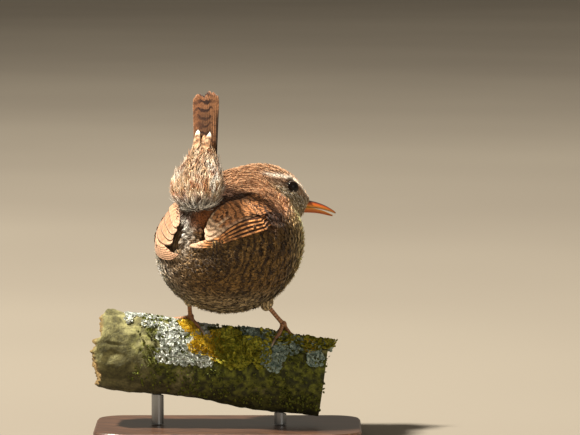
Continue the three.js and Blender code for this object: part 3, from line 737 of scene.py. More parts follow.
def lay_coat(name, roots, way, form, sizes, heights, look, places, slot_name, wisp=False, tones=PLAIN_TIPS):
    """One coat piece: a closed vane or wisp from each root along its way, settled onto the form.

    sizes is (length, half width) and heights (root, tip) for each feather, and look gives the
    markings. tones are the three tones a wisp may have, or those of a vane towards its tip.
    """
    shape, at = (WISP_SHAPE, WISP_AT) if wisp else (VANE_SHAPE, VANE_AT)
    across, lift = (WISP_ACROSS, WISP_LIFT) if wisp else (VANE_ACROSS, VANE_LIFT)
    rng = np.random.default_rng(len(roots))
    count, stations, ring = len(roots), len(at), len(across)
    length, half = sizes
    spine = roots[:, None] + way[:, None] * (length[:, None] * at[None])[..., None]
    climb = heights[0][:, None] + (heights[1] - heights[0])[:, None] * at[None] ** 0.8
    spine = settle(spine, form, climb)
    if form is BODY:
        spine = settle(spine, form, climb + swell(spine))
    normal = outwards(spine, form)
    width = half[:, None] * shape[None]
    points = vanes(spine, normal, width, across, lift, 0.0 if wisp else VANE_CURL)
    ahead = unit(np.gradient(spine, axis=1))
    if not wisp:
        # The tip is frayed: its points reach unevenly along the feather
        reach = rng.uniform(-0.2, 0.04, (count, ring)) * VANE_FRAY
        points[:, -1] += ahead[:, -1, None] * (reach * length[:, None])[..., None]
    quads, ends = tube_faces(stations, ring, count)
    piece = make_piece(name, points, quads, ends, CONTOUR, slot_name)
    if wisp:
        jitter = rng.choice(tones, count, p=[0.32, 0.34, 0.34])[:, None, None, None]
    else:
        # Each feather is darker where it comes out from under the last and pale at its tip
        down_vane = np.interp(at, TONES_AT, [0.9, 0.85, *tones])
        jitter = rng.uniform(0.72, 1.22, count)[:, None, None, None] * down_vane[None, :, None, None]
    ground, mark, phase, strength = look(points, jitter)
    seed = np.broadcast_to(rng.uniform(0, 40, (count, 1, 1)), phase.shape)
    flank = ramp(-roots[:, 0], 8, 17) * ramp(roots[:, 2], 48, 54)
    phase = phase + (rng.normal(0, 1, count) * blend(0.26, 0.1, flank))[:, None, None]
    set_markings(piece, ground, mark, np.stack([phase, strength, seed], -1))
    aside = np.broadcast_to(width[:, :, None] * across, phase.shape)
    down = np.broadcast_to((length[:, None] * at[None])[:, :, None], phase.shape)
    set_map(piece, "Vane", np.stack([aside, down], -1), render=True)
    in_patch = np.broadcast_arrays(0.5 + 0.5 * across, at[:, None] * np.ones(phase.shape))
    set_map(piece, "OFBake", places[:, None, None] + BAKE_PATCH * np.stack(in_patch, -1))


# Wings

# Edges of the folded wing as (outwards, back, up) from the trunk's centre, front to tip: the lower
# edge and the upper edge of the front, then of each group of quills
FRONT_LOWER = [[20.5, -9, 5.2], [21.6, -3, 7], [21.2, 3, 7.2], [20.6, 8, 5.9]]
FRONT_UPPER = [[15, -9, 12.2], [12.6, -3, 15.4], [12, 3, 15.8], [11.6, 8.8, 15]]
FRONT_SPLIT = 0.38
WINGS = {
    "left": {
        "side": 1,
        "tertials": (
            [[17.6, 9.6, 9.2], [17.2, 15, 6], [15, 19, 3.2],
             [11.5, 22.3, 1.8], [8, 24.1, 1.6], [5.8, 24.9, 2.8]],
            [[11.4, 9.8, 14.9], [8.8, 15.6, 14], [6, 20, 12.6],
             [4.2, 22.9, 9.6], [3.4, 24.4, 6.6], [4, 24.9, 4.4]],
        ),
        "primaries": (
            [[20.6, 9, 5], [19.4, 14, 1.2], [15.8, 19.2, -1.8],
             [11.4, 22.7, -3.2], [6.6, 24.8, -3.3], [3, 25.6, -1.9]],
            [[18, 9.4, 8.6], [17.7, 14.6, 5.3], [15.4, 18.8, 2.5],
             [12, 22, 0.9], [7, 24.6, 0.3], [3, 25.6, -0.6]],
        ),
    },
    "right": {
        "side": -1,
        "tertials": (
            [[17.4, 9.6, 9.4], [14.9, 15.6, 8.3], [12, 20.6, 5.8],
             [9.8, 22.8, 3.6], [8, 24, 2.6], [6.6, 24.5, 3.4]],
            [[11.5, 9.8, 14.9], [10, 15, 14.4], [9, 18.8, 12.8],
             [7.6, 21.8, 10], [6.2, 23.8, 7], [5.9, 24.4, 5]],
        ),
        "primaries": (
            [[20.5, 9, 5.6], [17.8, 15.5, 3.8], [13.5, 20.5, 2.5],
             [8.8, 23.8, 1.2], [5, 25.2, 0.4], [1.2, 25.7, 0.5]],
            [[17.8, 9.2, 8.8], [15.2, 15.3, 7.6], [12, 20.2, 5],
             [9.4, 23.2, 2.8], [5.4, 24.9, 2.2], [1.2, 25.7, 1.6]],
        ),
    },
}


def wing_edges(wing, group):
    """The lower and upper edge of one group of quills, carried forwards over the wing's front."""
    lower, upper = np.array(FRONT_LOWER, float), np.array(FRONT_UPPER, float)
    split = blend(lower, upper, FRONT_SPLIT)
    first = (split, upper) if group == "tertials" else (lower, split)
    return [np.concatenate([a, np.array(b, float)]) for a, b in zip(first, wing[group])]


def wing_point(wing, group, t, c):
    """A point on the folded wing: t goes from 0 at its front to 1 at its tip, c from below to above."""
    lower, upper = wing_edges(wing, group)
    point = blend(spline(lower, t), spline(upper, t), np.asarray(c)[..., None])
    return TRUNK_CENTRE + point * np.array([wing["side"], 1, 1])


def wing_places(along_wing, over_wing, group):
    """Points of one group of quills of both wings, on a grid of t and c, brought to the body's outer form."""
    t, c = np.meshgrid(np.linspace(*along_wing), np.linspace(*over_wing), indexing="ij")
    places = [wing_point(wing, group, t, c).reshape(-1, 3) for wing in WINGS.values()]
    return settle(np.concatenate(places), BODY, 0.0)


# Rows of wing feathers: group, kind, how many, half width and the bars' spacing in mm, then for the
# row's first and last feather: t of the root, t of the tip, c of the root, c of the tip, height in mm
FEATHER_ROWS = {
    "right": [
        ("primaries", "primary", 4, 1.05, 2.6,
         (0.24, 0.28), (1.0, 0.8), (0.3, 1.02), (0.5, 1.5), (1.0, 1.35)),
        ("tertials", "secondary", 2, 1.25, 2.4,
         (0.26, 0.28), (0.93, 0.9), (-0.02, 0.12), (0.02, 0.16), (1.2, 1.3)),
        ("tertials", "tertial", 3, 2.6, 1.9,
         (0.3, 0.32), (1.0, 0.86), (0.4, 0.78), (0.4, 0.72), (1.3, 1.5)),
        ("tertials", "covert", 7, 1.0, 2.0,
         (0.4, 0.42), (0.72, 0.78), (0.3, 0.95), (0.32, 0.92), (1.5, 1.65)),
        ("tertials", "covert", 8, 1.0, 2.0,
         (0.3, 0.34), (0.6, 0.66), (0.28, 0.98), (0.3, 0.95), (1.6, 1.75)),
        ("tertials", "covert", 9, 0.95, 2.0,
         (0.22, 0.24), (0.5, 0.55), (0.24, 1.0), (0.27, 0.97), (1.65, 1.85)),
        ("tertials", "covert", 10, 0.95, 2.0,
         (0.14, 0.16), (0.41, 0.44), (0.1, 1.0), (0.14, 0.99), (1.7, 1.9)),
    ],
    "left": [
        ("primaries", "spread", 7, 1.15, 1.3,
         (0.24, 0.28), (1.0, 0.84), (0.0, 0.95), (0.05, 0.9), (0.7, 1.15)),
        ("tertials", "spread", 2, 1.35, 1.3,
         (0.24, 0.26), (0.86, 0.84), (-0.04, 0.06), (-0.02, 0.1), (0.9, 1.0)),
        ("tertials", "drooped", 4, 2.5, 1.15,
         (0.26, 0.32), (1.0, 0.88), (0.1, 0.9), (0.2, 0.92), (1.1, 1.5)),
        ("tertials", "covert", 9, 1.0, 1.4,
         (0.24, 0.26), (0.52, 0.56), (0.2, 1.0), (0.24, 0.97), (1.2, 1.4)),
        ("tertials", "covert", 10, 0.95, 1.4,
         (0.14, 0.16), (0.42, 0.45), (0.1, 1.0), (0.14, 0.99), (1.3, 1.5)),
    ],
}
WING_SEEDS = {"left": 31, "right": 57}
WING_MM = 38
QUILL_STATIONS = 22
# A quill's ring goes over its top, with the shaft standing up in its middle, and back under it
QUILL_ACROSS = np.array([-1, -0.8, -0.55, -0.3, -0.08, 0.08, 0.3, 0.55, 0.8, 1, 0.5, -0.5])
QUILL_LIFT = 0.05 * np.array([0, 0.7, 1, 1, 1.5, 1.5, 1, 1, 0.7, 0, -0.3, -0.3])
# Ground and pale edge of each kind of wing feather, and how strongly it is barred
WING_LOOKS = {
    "primary": (linear("#3f2416"), linear("#f0a565"), 0.9),
    "spread": (linear("#5d3822"), linear("#cb9e7c"), 0.4),
    "drooped": (linear("#b88b69"), linear("#d6b090"), 0.4),
    # Secondaries: dark brown, partly their own colour and partly painted shade between the wing's groups of
    # quills
    "secondary": (linear("#3b2114"), linear("#a0643a"), 0.4),
    "tertial": (linear("#b87d56"), linear("#f0cdaa"), 0.8),
    "covert": (linear("#bd7d4b"), linear("#dba678"), 1.0),
}
WING_DARK = linear("#2c150a")
PRIMARY_TIP = linear("#efc6a2")


def round_tip(at, blunt):
    """A feather's width along its length: quick to widen, even, then round: (1 - at^blunt)^0.5."""
    return (0.35 + 0.65 * ramp(at, 0, 0.3)) * np.sqrt(np.maximum(1 - at**blunt, 0.0004))


def sheet_places(count, stations, ring):
    """Large feathers laid side by side on a square sheet, each opened out flat in its own cell."""
    cells = int(np.ceil(np.sqrt(count)))
    cell = np.stack([np.arange(count) % cells, np.arange(count) // cells], -1)[:, None, None]
    x = np.broadcast_to(np.linspace(0.06, 0.94, ring)[None, :], (stations, ring))
    y = np.broadcast_to(np.linspace(0.04, 0.96, stations)[:, None], (stations, ring))
    return (cell + np.stack([x, y], -1)[None]) / cells


def large_feathers(name, points, material, slot_name):
    """One piece of large feathers from their rings: (count, stations, ring, 3)."""
    count, stations, ring = points.shape[:3]
    return make_piece(name, points, *tube_faces(stations, ring, count), material, slot_name)


def mark_large(piece, rng, ground, mark, phase, strength, aside, down):
    """Markings and maps of large feathers; aside and down are millimetres from the shaft and along it."""
    seed = rng.uniform(0, 40, (len(aside), 1, 1)) * np.ones(aside.shape)
    bars = np.stack([phase, strength, seed], -1)
    set_markings(piece, ground, np.broadcast_to(mark, ground.shape), bars)
    set_map(piece, "Vane", np.stack([aside, down], -1), render=True)
    set_map(piece, "OFBake", sheet_places(*aside.shape))


def wing_feathers(side_name):
    """All the quills and coverts of one folded wing, row over row, as one piece."""
    wing = WINGS[side_name]
    at = np.linspace(0, 1, QUILL_STATIONS) ** 0.85
    rng = np.random.default_rng(WING_SEEDS[side_name])
    spines, halves, kinds, spacing, reach = [], [], [], [], []
    for group, kind, count, half, bar_mm, roots, tips, c_root, c_tip, heights in FEATHER_ROWS[side_name]:
        share = np.linspace(0, 1, count)
        t = blend(blend(*roots, share), blend(*tips, share), at[:, None]).T
        t = np.clip(t + rng.normal(0, 0.006, (count, 1)) * at, 0, 1)
        c = blend(blend(*c_root, share), blend(*c_tip, share), at[:, None]).T
        height = blend(*heights, share)[:, None] + 0.12 * at[None] - 0.3 * (1 - at[None])
        spines.append(settle(wing_point(wing, group, t, c), BODY, height))
        reach.append(t)
        halves.append(half * np.ones((count, 1)) * round_tip(at, 9 if kind == "primary" else 5)[None])
        kinds += [kind] * count
        spacing += [bar_mm] * count
    spines, halves, reach = np.concatenate(spines), np.concatenate(halves), np.concatenate(reach)
    base, rim, barred = (np.array([WING_LOOKS[kind][i] for kind in kinds])[:, None, None] for i in range(3))
    kinds = np.array(kinds)[:, None, None]
    spacing = np.array(spacing)[:, None, None]
    reach = reach[:, :, None]
    normals = outwards(spines, BODY)
    points = vanes(spines, normals, halves, QUILL_ACROSS, QUILL_LIFT, 0.05, -0.12 * wing["side"])
    piece = large_feathers(f"wing_{side_name}_feathers", points, QUILL, "quill_feathers")
    step = np.linalg.norm(np.diff(spines, axis=1), axis=-1)
    down = np.concatenate([np.zeros((len(spines), 1)), np.cumsum(step, axis=1)], axis=1)[:, :, None]
    aside = halves[:, :, None] * QUILL_ACROSS[None, None]
    # Primaries and secondaries have a pale lower web, and the left wing's spread ones most of both
    lower_web = ramp(-wing["side"] * QUILL_ACROSS, 0.3, 0.55)[None, None]
    most_web = ramp(-wing["side"] * QUILL_ACROSS, -0.6, -0.35)[None, None]
    edge = 0.5 * ramp(np.abs(QUILL_ACROSS), 0.5, 1.0)[None, None]
    for kind, share in (("primary", lower_web), ("secondary", 0.6 * lower_web), ("spread", most_web)):
        edge = np.where(kinds == kind, share, edge)
    tip_from = np.where(kinds == "tertial", 0.6, 0.8)
    tip = ramp(down / down[:, -1:], tip_from, tip_from + 0.18) * np.ones(aside.shape)
    pale = np.clip(edge + np.where(kinds == "covert", 0.3, 0.8) * tip, 0, 1)
    ground = blend(base, rim, pale[..., None])
    # The longest primary tips are pinkish buff
    buff = np.where(kinds == "primary", ramp(reach, 0.82, 0.93), 0) * np.ones(aside.shape)
    ground = blend(ground, PRIMARY_TIP, 0.85 * buff[..., None])
    ground = ground * rng.uniform(0.88, 1.12, (len(spines), 1, 1, 1))
    # The bars of all feathers line up across the folded wing
    wander = 0.4 * lattice(points, 1.4, 71) + rng.uniform(-0.16, 0.16, (len(spines), 1, 1))
    phase = WING_MM * reach / spacing + 0.12 * np.abs(aside) + wander
    plain_from = np.where(kinds == "drooped", 0.6, 0.72)
    strength = barred * (1 - 0.85 * ramp(reach, plain_from, plain_from + 0.23))
    strength = strength * (0.75 + 0.25 * lattice(points, 1.1, 73))
    mark_large(piece, rng, ground, WING_DARK, phase, strength, aside, down * np.ones(aside.shape))
    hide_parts(*[f"wing_{side_name}_{part}" for part in ("coverts", "tertials", "primaries")])


# Tail

TAIL_HALF = 4.7
# How far up the tail each quill's tip is, from its right edge to its left
TAIL_TIPS = np.array([36.9, 37.5, 37.2, 37.9, 37.6, 36.6, 36.3, 36.9, 37.3, 37.0, 36.4])
TAIL_BROWN = linear("#7d5031")
TAIL_EDGE = linear("#b08058")
# Painted shade down the tail's shaded right side
TAIL_RIGHT_SHADE = linear("#33200f")
TAIL_DARK = linear("#2e170c")
# Each long feather under the tail: how far up and across its tip is, and whether that is white
LONG_COVERTS = np.array([
    [25.6, 2.1, 1], [24.8, -2.4, 1], [23.9, -0.4, 0], [23.2, 1.0, 0], [22.8, -1.6, 0],
    [22.9, 3.0, 0], [21.4, -2.2, 1], [20.2, 2.9, 1], [21.6, 0.9, 0], [19.6, -0.6, 0],
    [17.8, 4.4, 1], [18.4, 1.6, 0], [17.0, 2.9, 1], [17.9, -1.9, 0], [16.4, -3.8, 1],
    [15.4, 5.7, 1], [15.6, 0.4, 0], [14.6, -2.4, 1], [13.8, -4.9, 1],
])
LONG_COVERT_MM = 9.5
LONG_RUST = linear("#8f6440")
LONG_CREAM = linear("#c6a27c")
CHEVRON = linear("#3a2014")
WHITE_TIP = linear("#ddd2c2")
COVERT_BUFF = linear("#b6926a")
COVERT_CREAM = linear("#dfc7a8")
COVERT_SIDE = linear("#ddd3c3")
COVERT_RUST = linear("#935a36")
COVERT_DOWN = linear("#3c3530")
COVERT_WHITE = linear("#f6f0e6")
COVERT_FRONT = linear("#8a5230")
COVERT_BAR = linear("#3c2213")


def fray(points, rng, low, high):
    """Moves the last three rings of feathers along the tail, each point of the ring by its own amount."""
    count, _, ring, _ = points.shape
    points[:, -3:] += TAIL_UP * rng.uniform(low, high, (count, 1, ring, 1))


def tail_feathers():
    """The tail quills stacked in a narrow fan, a little curved across, with wavy dark bars."""
    count, stations = len(TAIL_TIPS), 44
    share = np.linspace(-1, 1, count)
    at = np.linspace(0, 1, stations) ** 0.8
    up = 3 + (TAIL_TIPS[:, None] - 3) * at[None]
    fan = (TAIL_HALF - 1.35) * share[:, None] * blend(0.6, 1, at[None])
    back = 0.42 * share[:, None] + 0.1 - 0.35 * (fan / TAIL_HALF) ** 2
    spines = tail_point(up, fan, back)
    normals = np.broadcast_to(TAIL_BACK, spines.shape)
    halves = 1.5 * np.ones((count, 1)) * round_tip(at, 34)[None]
    points = vanes(spines, normals, halves, QUILL_ACROSS, QUILL_LIFT, 0.04)
    rng = np.random.default_rng(9)
    fray(points, rng, -0.5, 0.25)
    piece = large_feathers("tail_quills", points, QUILL, "quill_feathers")
    aside = halves[:, :, None] * QUILL_ACROSS[None, None]
    down = up[:, :, None] * np.ones(aside.shape)
    edge = ramp(np.abs(QUILL_ACROSS), 0.6, 1.0)[None, None] * np.ones(aside.shape)
    # The right-most quills are painted dark down most of their length as shade
    shaded_right = ramp(-share, 0.72, 0.9)[:, None, None] * np.ones(aside.shape)
    ground = blend(TAIL_BROWN, TAIL_EDGE, (0.6 * edge)[..., None])
    ground = blend(ground, TAIL_RIGHT_SHADE, (shaded_right * ramp(-down, -33, -29))[..., None])
    ground = ground * rng.uniform(0.85, 1.12, (count, 1, 1, 1))
    phase = (down + 0.3 * np.abs(aside)) / 2.5
    phase = phase + 0.45 * lattice(points, 1.6, 17) + 0.2 * rng.uniform(0, 1, (count, 1, 1))
    middle = ramp(-np.abs(fan[:, :, None] + aside - 0.3), -2.9, -1.3)
    strength = np.clip(0.36 + 0.6 * middle + 0.4 * lattice(points, 2.2, 19), 0, 0.98)
    ground = ground * (1 - 0.5 * middle * ramp(-down, -34, -30))[..., None]
    mark_large(piece, rng, ground, TAIL_DARK, phase, strength, aside, down)
    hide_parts("tail")


def long_coverts():
    """The longest feathers under the tail: cream and rust, with dark chevrons and round, often white tips.

    Each spine is a quadratic curve from deep in the coat up to its tip, just off the tail.
    """
    count, stations = len(LONG_COVERTS), 20
    tip_up, tip_across, tip_white = LONG_COVERTS.T
    at = np.linspace(0, 1, stations)
    low = np.stack([tip_up - 9, 0.55 * tip_across, np.full(count, 5.0)], -1)
    mid = np.stack([tip_up - 4, 0.85 * tip_across, np.full(count, 3.3)], -1)
    high = np.stack([tip_up, tip_across, np.full(count, 1.4)], -1)
    t = at[None, :, None]
    path = low[:, None] * (1 - t) ** 2 + 2 * mid[:, None] * t * (1 - t) + high[:, None] * t**2
    # The shorter ones lie over the longer
    over = 0.054 * np.maximum(0, 24 - tip_up)[:, None]
    spines = tail_point(path[..., 0], path[..., 1], path[..., 2] * 0.8 + over)
    halves = blend(1.2, 1.5, ramp(tip_up[:, None], 17, 22)) * round_tip(at, 3)[None]
    normals = np.broadcast_to(TAIL_BACK, spines.shape)
    points = vanes(spines, normals, halves, QUILL_ACROSS, QUILL_LIFT, 0.12)
    rng = np.random.default_rng(77)
    fray(points, rng, -0.45, 0.2)
    piece = large_feathers("undertail_long_feathers", points, CONTOUR, "vent_feathers")
    aside = halves[:, :, None] * QUILL_ACROSS
    down = LONG_COVERT_MM * at[None, :, None] * np.ones(aside.shape)
    left = LONG_COVERT_MM - down
    white = ramp(-left, -1.9, -1.2) * tip_white[:, None, None]
    chevron = bell(left, 2.3 + 0.4 * np.abs(aside), 0.35)
    chevron = chevron + 0.6 * bell(left, 4.1 + 0.5 * np.abs(aside), 0.35)
    rusty = ramp(lattice(points, 0.7, 83), -0.3, 0.4)[..., None]
    ground = blend(LONG_RUST, LONG_CREAM, rusty)
    ground = blend(ground, CHEVRON, (0.85 * chevron)[..., None])
    ground = blend(ground, WHITE_TIP, white[..., None])
    none = np.zeros(aside.shape)
    mark_large(piece, rng, ground, ground * 0.5, none, none, aside, down)


def covert_markings(points, jitter):
    """Cream plumes mottled with rust and paler at the sides; grey and white down near the vent."""
    local = (points - TAIL_ROOT) @ TAIL_AXES.T
    across, back, up = local[..., 0], local[..., 1], local[..., 2]
    cream = blend(COVERT_BUFF, COVERT_CREAM, ramp(lattice(points, 1.5, 23), -0.3, 0.4)[..., None])
    flank = ramp(np.abs(across), 2.5, 5.5) * ramp(lattice(points, 2.0, 24), 0.0, 0.3)
    cream = blend(cream, COVERT_SIDE, flank[..., None])
    rust = blend(cream, COVERT_RUST, ramp(lattice(points, 1.0, 29), 0.1, 0.45)[..., None])
    grey = blend(COVERT_DOWN, COVERT_WHITE, ramp(lattice(points, 0.9, 31), -0.3, 0.15)[..., None])
    ground = blend(rust, grey, ramp(-up, -5.5, -0.5)[..., None])
    front = ramp(-back, -1.5, 1.5)[..., None]
    ground = blend(ground, COVERT_FRONT, front) * jitter
    phase = (up + 0.5 * np.abs(across)) / 3.2 + 0.4 * lattice(points, 1.7, 37)
    strength = 0.55 * ramp(up, 8, 13) + 0.25 * front[..., 0]
    return ground, np.broadcast_to(COVERT_BAR, ground.shape), phase, strength


# The bird's coat, wings and tail

skin_piece()
for side_name in WINGS:
    wing_feathers(side_name)
tail_feathers()
long_coverts()

# Where the coat lifts over the wings' front and upper edges, and where it has no roots under their quills
WING_FRONT = np.concatenate([
    wing_places((0.0, 0.3, 10), (0.06, 0.94, 6), "tertials"),
    wing_places((0.0, 0.2, 7), (0.06, 0.94, 4), "primaries"),
])
WING_QUILLS = np.concatenate([
    wing_places((0.3, 0.93, 22), (0.1, 0.72, 6), "tertials"),
    wing_places((0.25, 0.93, 24), (0.3, 0.95, 4), "primaries"),
])
WING_RIM = np.concatenate([
    wing_places((0.3, 0.8, 16), (1.05, 1.06, 2), group) for group in ("tertials", "primaries")
])
# Face and head lie within this reach of a point just behind the head's middle
HEAD_REACH = 14
body_points = spread(BODY, INNER, 150000)
forwards = in_head(body_points)[:, 0]
from_head = np.linalg.norm(in_head(body_points) + [4, 0, 1], axis=1)
# The nape goes down to the mantle's edge
x, y, z = (body_points - TRUNK_CENTRE).T
nape = (y < 4.0 - 0.0006 * np.abs(x) ** 3) & (z > 4)
near_head = from_head < HEAD_REACH
zones = np.where(near_head | nape, "head", "trunk")
zones = np.where(forwards > -2.5, np.where(near_head, "face", "trunk"), zones)


def bare_places(points):
    """True where no feather is rooted: round the eyes, at the bill, and deep under tail and wings."""
    head = in_head(points)
    from_eye = np.stack([head[:, 0], np.abs(head[:, 1]) - 5.9, head[:, 2] - 0.2], -1)
    at_eye = np.linalg.norm(from_eye, axis=1) < 2.35
    at_bill = np.linalg.norm(head - [9.6, 0, -2.5], axis=1) < 2.4
    inside = away(points, COVERTS) < -1.2
    under_wing = nearest(points, WING_QUILLS) < 1.3
    return at_eye | at_bill | inside | under_wing


# Layers of the coat in each zone, in millimetres: spacing of the roots, length, half width, depth of the
# roots, lowest and highest tip, how far the ways stray, and the tones that lay_coat takes
COAT = {
    "face": {
        "feathers": (0.72, 1.5, 0.42, 0.5, (-0.15, 0.15), 0.0, (0.75, 1.0, 1.25)),
        "wisps": (0.46, 2.1, 0.16, 0.3, (0.0, 0.5), 0.1, (0.3, 0.8, 2.1)),
    },
    "head": {
        "feathers": (1.0, 2.6, 0.62, 0.7, (-0.15, 0.15), 0.0, (0.75, 1.0, 1.25)),
        "wisps": (0.5, 3.4, 0.125, 0.3, (0.0, 0.5), 0.1, (0.22, 0.75, 2.1)),
    },
    "trunk": {
        "feathers": (1.5, 5.0, 1.15, 0.95, (-0.15, 0.4), 0.0, (0.55, 1.05, 1.9)),
        "wisps": (1.05, 3.0, 0.13, 0.3, (0.0, 0.9), 0.28, (0.5, 0.95, 1.45)),
    },
}
# Where the random draws of each kind start, and how much its lengths and widths vary
COAT_KINDS = {"feathers": (1, (0.8, 1.15), (0.85, 1.15)), "wisps": (11, (0.6, 1.2), (0.6, 1.2))}
for number, (zone, layers) in enumerate(COAT.items()):
    for side_name, side in (("left", 1), ("right", -1)):
        there = body_points[(zones == zone) & (side * (body_points[:, 0] + 0.5) > 0)]
        rng = np.random.default_rng(100 + number)
        for kind, (spacing, length, half, depth, tips, stray, tones) in layers.items():
            first_seed, lengths, widths = COAT_KINDS[kind]
            roots = there[thin_out(there, spacing, number + first_seed)]
            roots = roots[~bare_places(roots)]
            normal = outwards(roots, BODY)
            way = lie_of(roots, normal)
            if stray:
                way = combed(way + stray * rng.normal(size=roots.shape), normal)
            sizes = (length * rng.uniform(*lengths, len(roots)), half * rng.uniform(*widths, len(roots)))
            heights = (np.full(len(roots), -depth), rng.uniform(*tips, len(roots)))
            places = patch_places(roots, INNER, FACE_WAY)
            slot_name = "belly_feathers" if zone == "trunk" else "back_feathers"
            lay_coat(f"{zone}_{kind}_{side_name}", roots, way, BODY, sizes, heights, markings, places,
                     slot_name, wisp=kind == "wisps", tones=tones)

# Short feathers on the thighs, lying down towards the legs
for side_name, thigh in THIGHS.items():
    middle = from_trunk(*thigh["heel"]) + [0, 0, thigh["lift"]]
    form = [(middle, thigh["coat"], WORLD, 0)]
    roots = spread(form, middle, 9000)
    roots = roots[thin_out(roots, 0.55, 3)]
    roots = roots[away(roots, BODY) > -0.3]
    rng = np.random.default_rng(7)
    way = combed(-UPRIGHT + 0.2 * rng.normal(size=roots.shape), outwards(roots, form))
    sizes = (rng.uniform(1.4, 2.2, len(roots)), rng.uniform(0.3, 0.45, len(roots)))
    heights = (np.full(len(roots), -0.4), rng.uniform(-0.15, 0.1, len(roots)))
    places = patch_places(roots, middle, UPRIGHT)
    lay_coat(f"thigh_feathers_{side_name}", roots, way, form, sizes, heights, markings, places,
             "belly_feathers")

# Plumes under the tail and the wisps over them, one in five standing out further
covert_points = spread(COVERTS, COVERTS_MIDDLE, 20000)
for name, spacing, length, half, depth, tip, tones in (
    ("undertail_feathers", 1.35, 6.0, 1.3, 1.7, 0.1, PLAIN_TIPS),
    ("undertail_wisps", 0.65, 4.6, 0.17, 0.5, 0.8, (0.6, 0.95, 1.35)),
):
    roots = covert_points[thin_out(covert_points, spacing, 5)]
    roots = roots[away(roots, BODY) > -0.6]
    rng = np.random.default_rng(len(roots))
    local = (roots - COVERTS_MIDDLE) @ TAIL_AXES.T
    way = TAIL_UP + 0.05 * local[:, :1] * TAIL_ACROSS + 0.2 * rng.normal(size=roots.shape)
    way = combed(way, outwards(roots, COVERTS))
    keep = local[:, 2] < 12
    roots, way = roots[keep], way[keep]
    sizes = (length * rng.uniform(0.7, 1.15, len(roots)), half * rng.uniform(0.8, 1.2, len(roots)))
    tip_height = rng.uniform(-0.2, tip, len(roots))
    tip_height = tip_height * np.where(rng.random(len(roots)) < 0.2, 2.2, 1)
    heights = (np.full(len(roots), -depth), tip_height)
    places = patch_places(roots, COVERTS_MIDDLE, TAIL_UP)
    lay_coat(name, roots, way, COVERTS, sizes, heights, covert_markings, places, "vent_feathers",
             wisp=name == "undertail_wisps", tones=tones)


# Eyes, lids and bill


def ball_grid(centre, radius, axis, rows, columns, bulge=0.0):
    """A ball about an axis: rings at equal angles, with a front that may stand out a little."""
    tilt = np.linspace(0.01, np.pi - 0.01, rows)
    out = radius * (1 + bulge * np.exp(-((tilt / 0.5) ** 2)))
    return centre + out[:, None, None] * sphere_ways(axis, tilt, columns, [0.2, 0.3, 0.9])


def tube(path, radii, columns, side_way=UPRIGHT):
    """Rings round a path: radius * (cos, sin) of the angle on two directions square to the path."""
    ahead = unit(np.gradient(path, axis=0))
    side = unit(np.cross(ahead, side_way))
    up = np.cross(side, ahead)
    angle = np.arange(columns) * 2 * np.pi / columns
    ring = side[:, None] * np.cos(angle)[None, :, None] + up[:, None] * np.sin(angle)[None, :, None]
    return path[:, None] + radii[:, None, None] * ring


# Cornea over a dark brown iris: clear and wet, so it takes one sharp light
EYE_WET = mottled("wet_dark_eye", "#050302", "#120a06", 5 / 9,
                  Roughness=0.05, IOR=1.38, Specular_IOR_Level=0.35)
# Lids of bare skin: grey-brown and finely creased
LID_SKIN = mottled("bare_lid_skin", "#2e241d", "#5d4c3e", 0.4, relief=0.5, depth_mm=0.05,
                   Roughness=0.5, IOR=1.4)
EYE_RADIUS = 2.2
# Middle line of the lids' rim: half its length and height, and the radius of the ball it lies on
LID_HALF_LONG = 1.86
LID_HALF_HIGH = 1.68
LID_BALL = 2.26
LID_POINTS = 48
LID_RING = 10


def eyelid(side_name, centre, gaze, side):
    """The lids' rim: a ring along an almond on the eyeball, 0.24 mm thick and finely notched."""
    turn = np.arange(LID_POINTS) * 2 * np.pi / LID_POINTS
    rim = np.stack([LID_HALF_LONG * np.cos(turn), LID_HALF_HIGH * np.sin(turn)], -1)
    depth = np.sqrt(np.maximum(LID_BALL**2 - np.sum(rim**2, -1), 0))
    middle = centre + rim[:, :1] * HEAD_F + rim[:, 1:] * HEAD_H + depth[:, None] * gaze
    outer = unit(middle - centre)
    ahead = unit(np.roll(middle, -1, 0) - np.roll(middle, 1, 0))
    beside = np.cross(outer, ahead)
    angle = (np.arange(LID_RING) * 2 * np.pi / LID_RING)[None, :, None]
    thick = (0.24 + 0.04 * np.sin(9 * turn))[:, None, None]
    lid = middle[:, None] + thick * (outer[:, None] * np.cos(angle) + beside[:, None] * np.sin(angle))
    # The last ring is joined to the first
    quads = grid_faces(LID_POINTS + 1, LID_RING) % (LID_POINTS * LID_RING)
    no_ends = np.zeros((0, 3), int)
    make_piece(f"eyelid_{side_name}", lid, quads[:, ::side], no_ends, LID_SKIN, "eye")


for side_name, side in (("left", -1), ("right", 1)):
    centre = head_point(0, 5.55 * side, 0.2)
    gaze = HEAD_S * side
    ball = ball_grid(centre, EYE_RADIUS, gaze, 24, 32, 0.02)
    eye = closed_piece(f"eyeball_{side_name}", [ball], EYE_WET, "eye")
    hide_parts(f"eye_{side_name}")
    eyelid(side_name, centre, gaze, side)

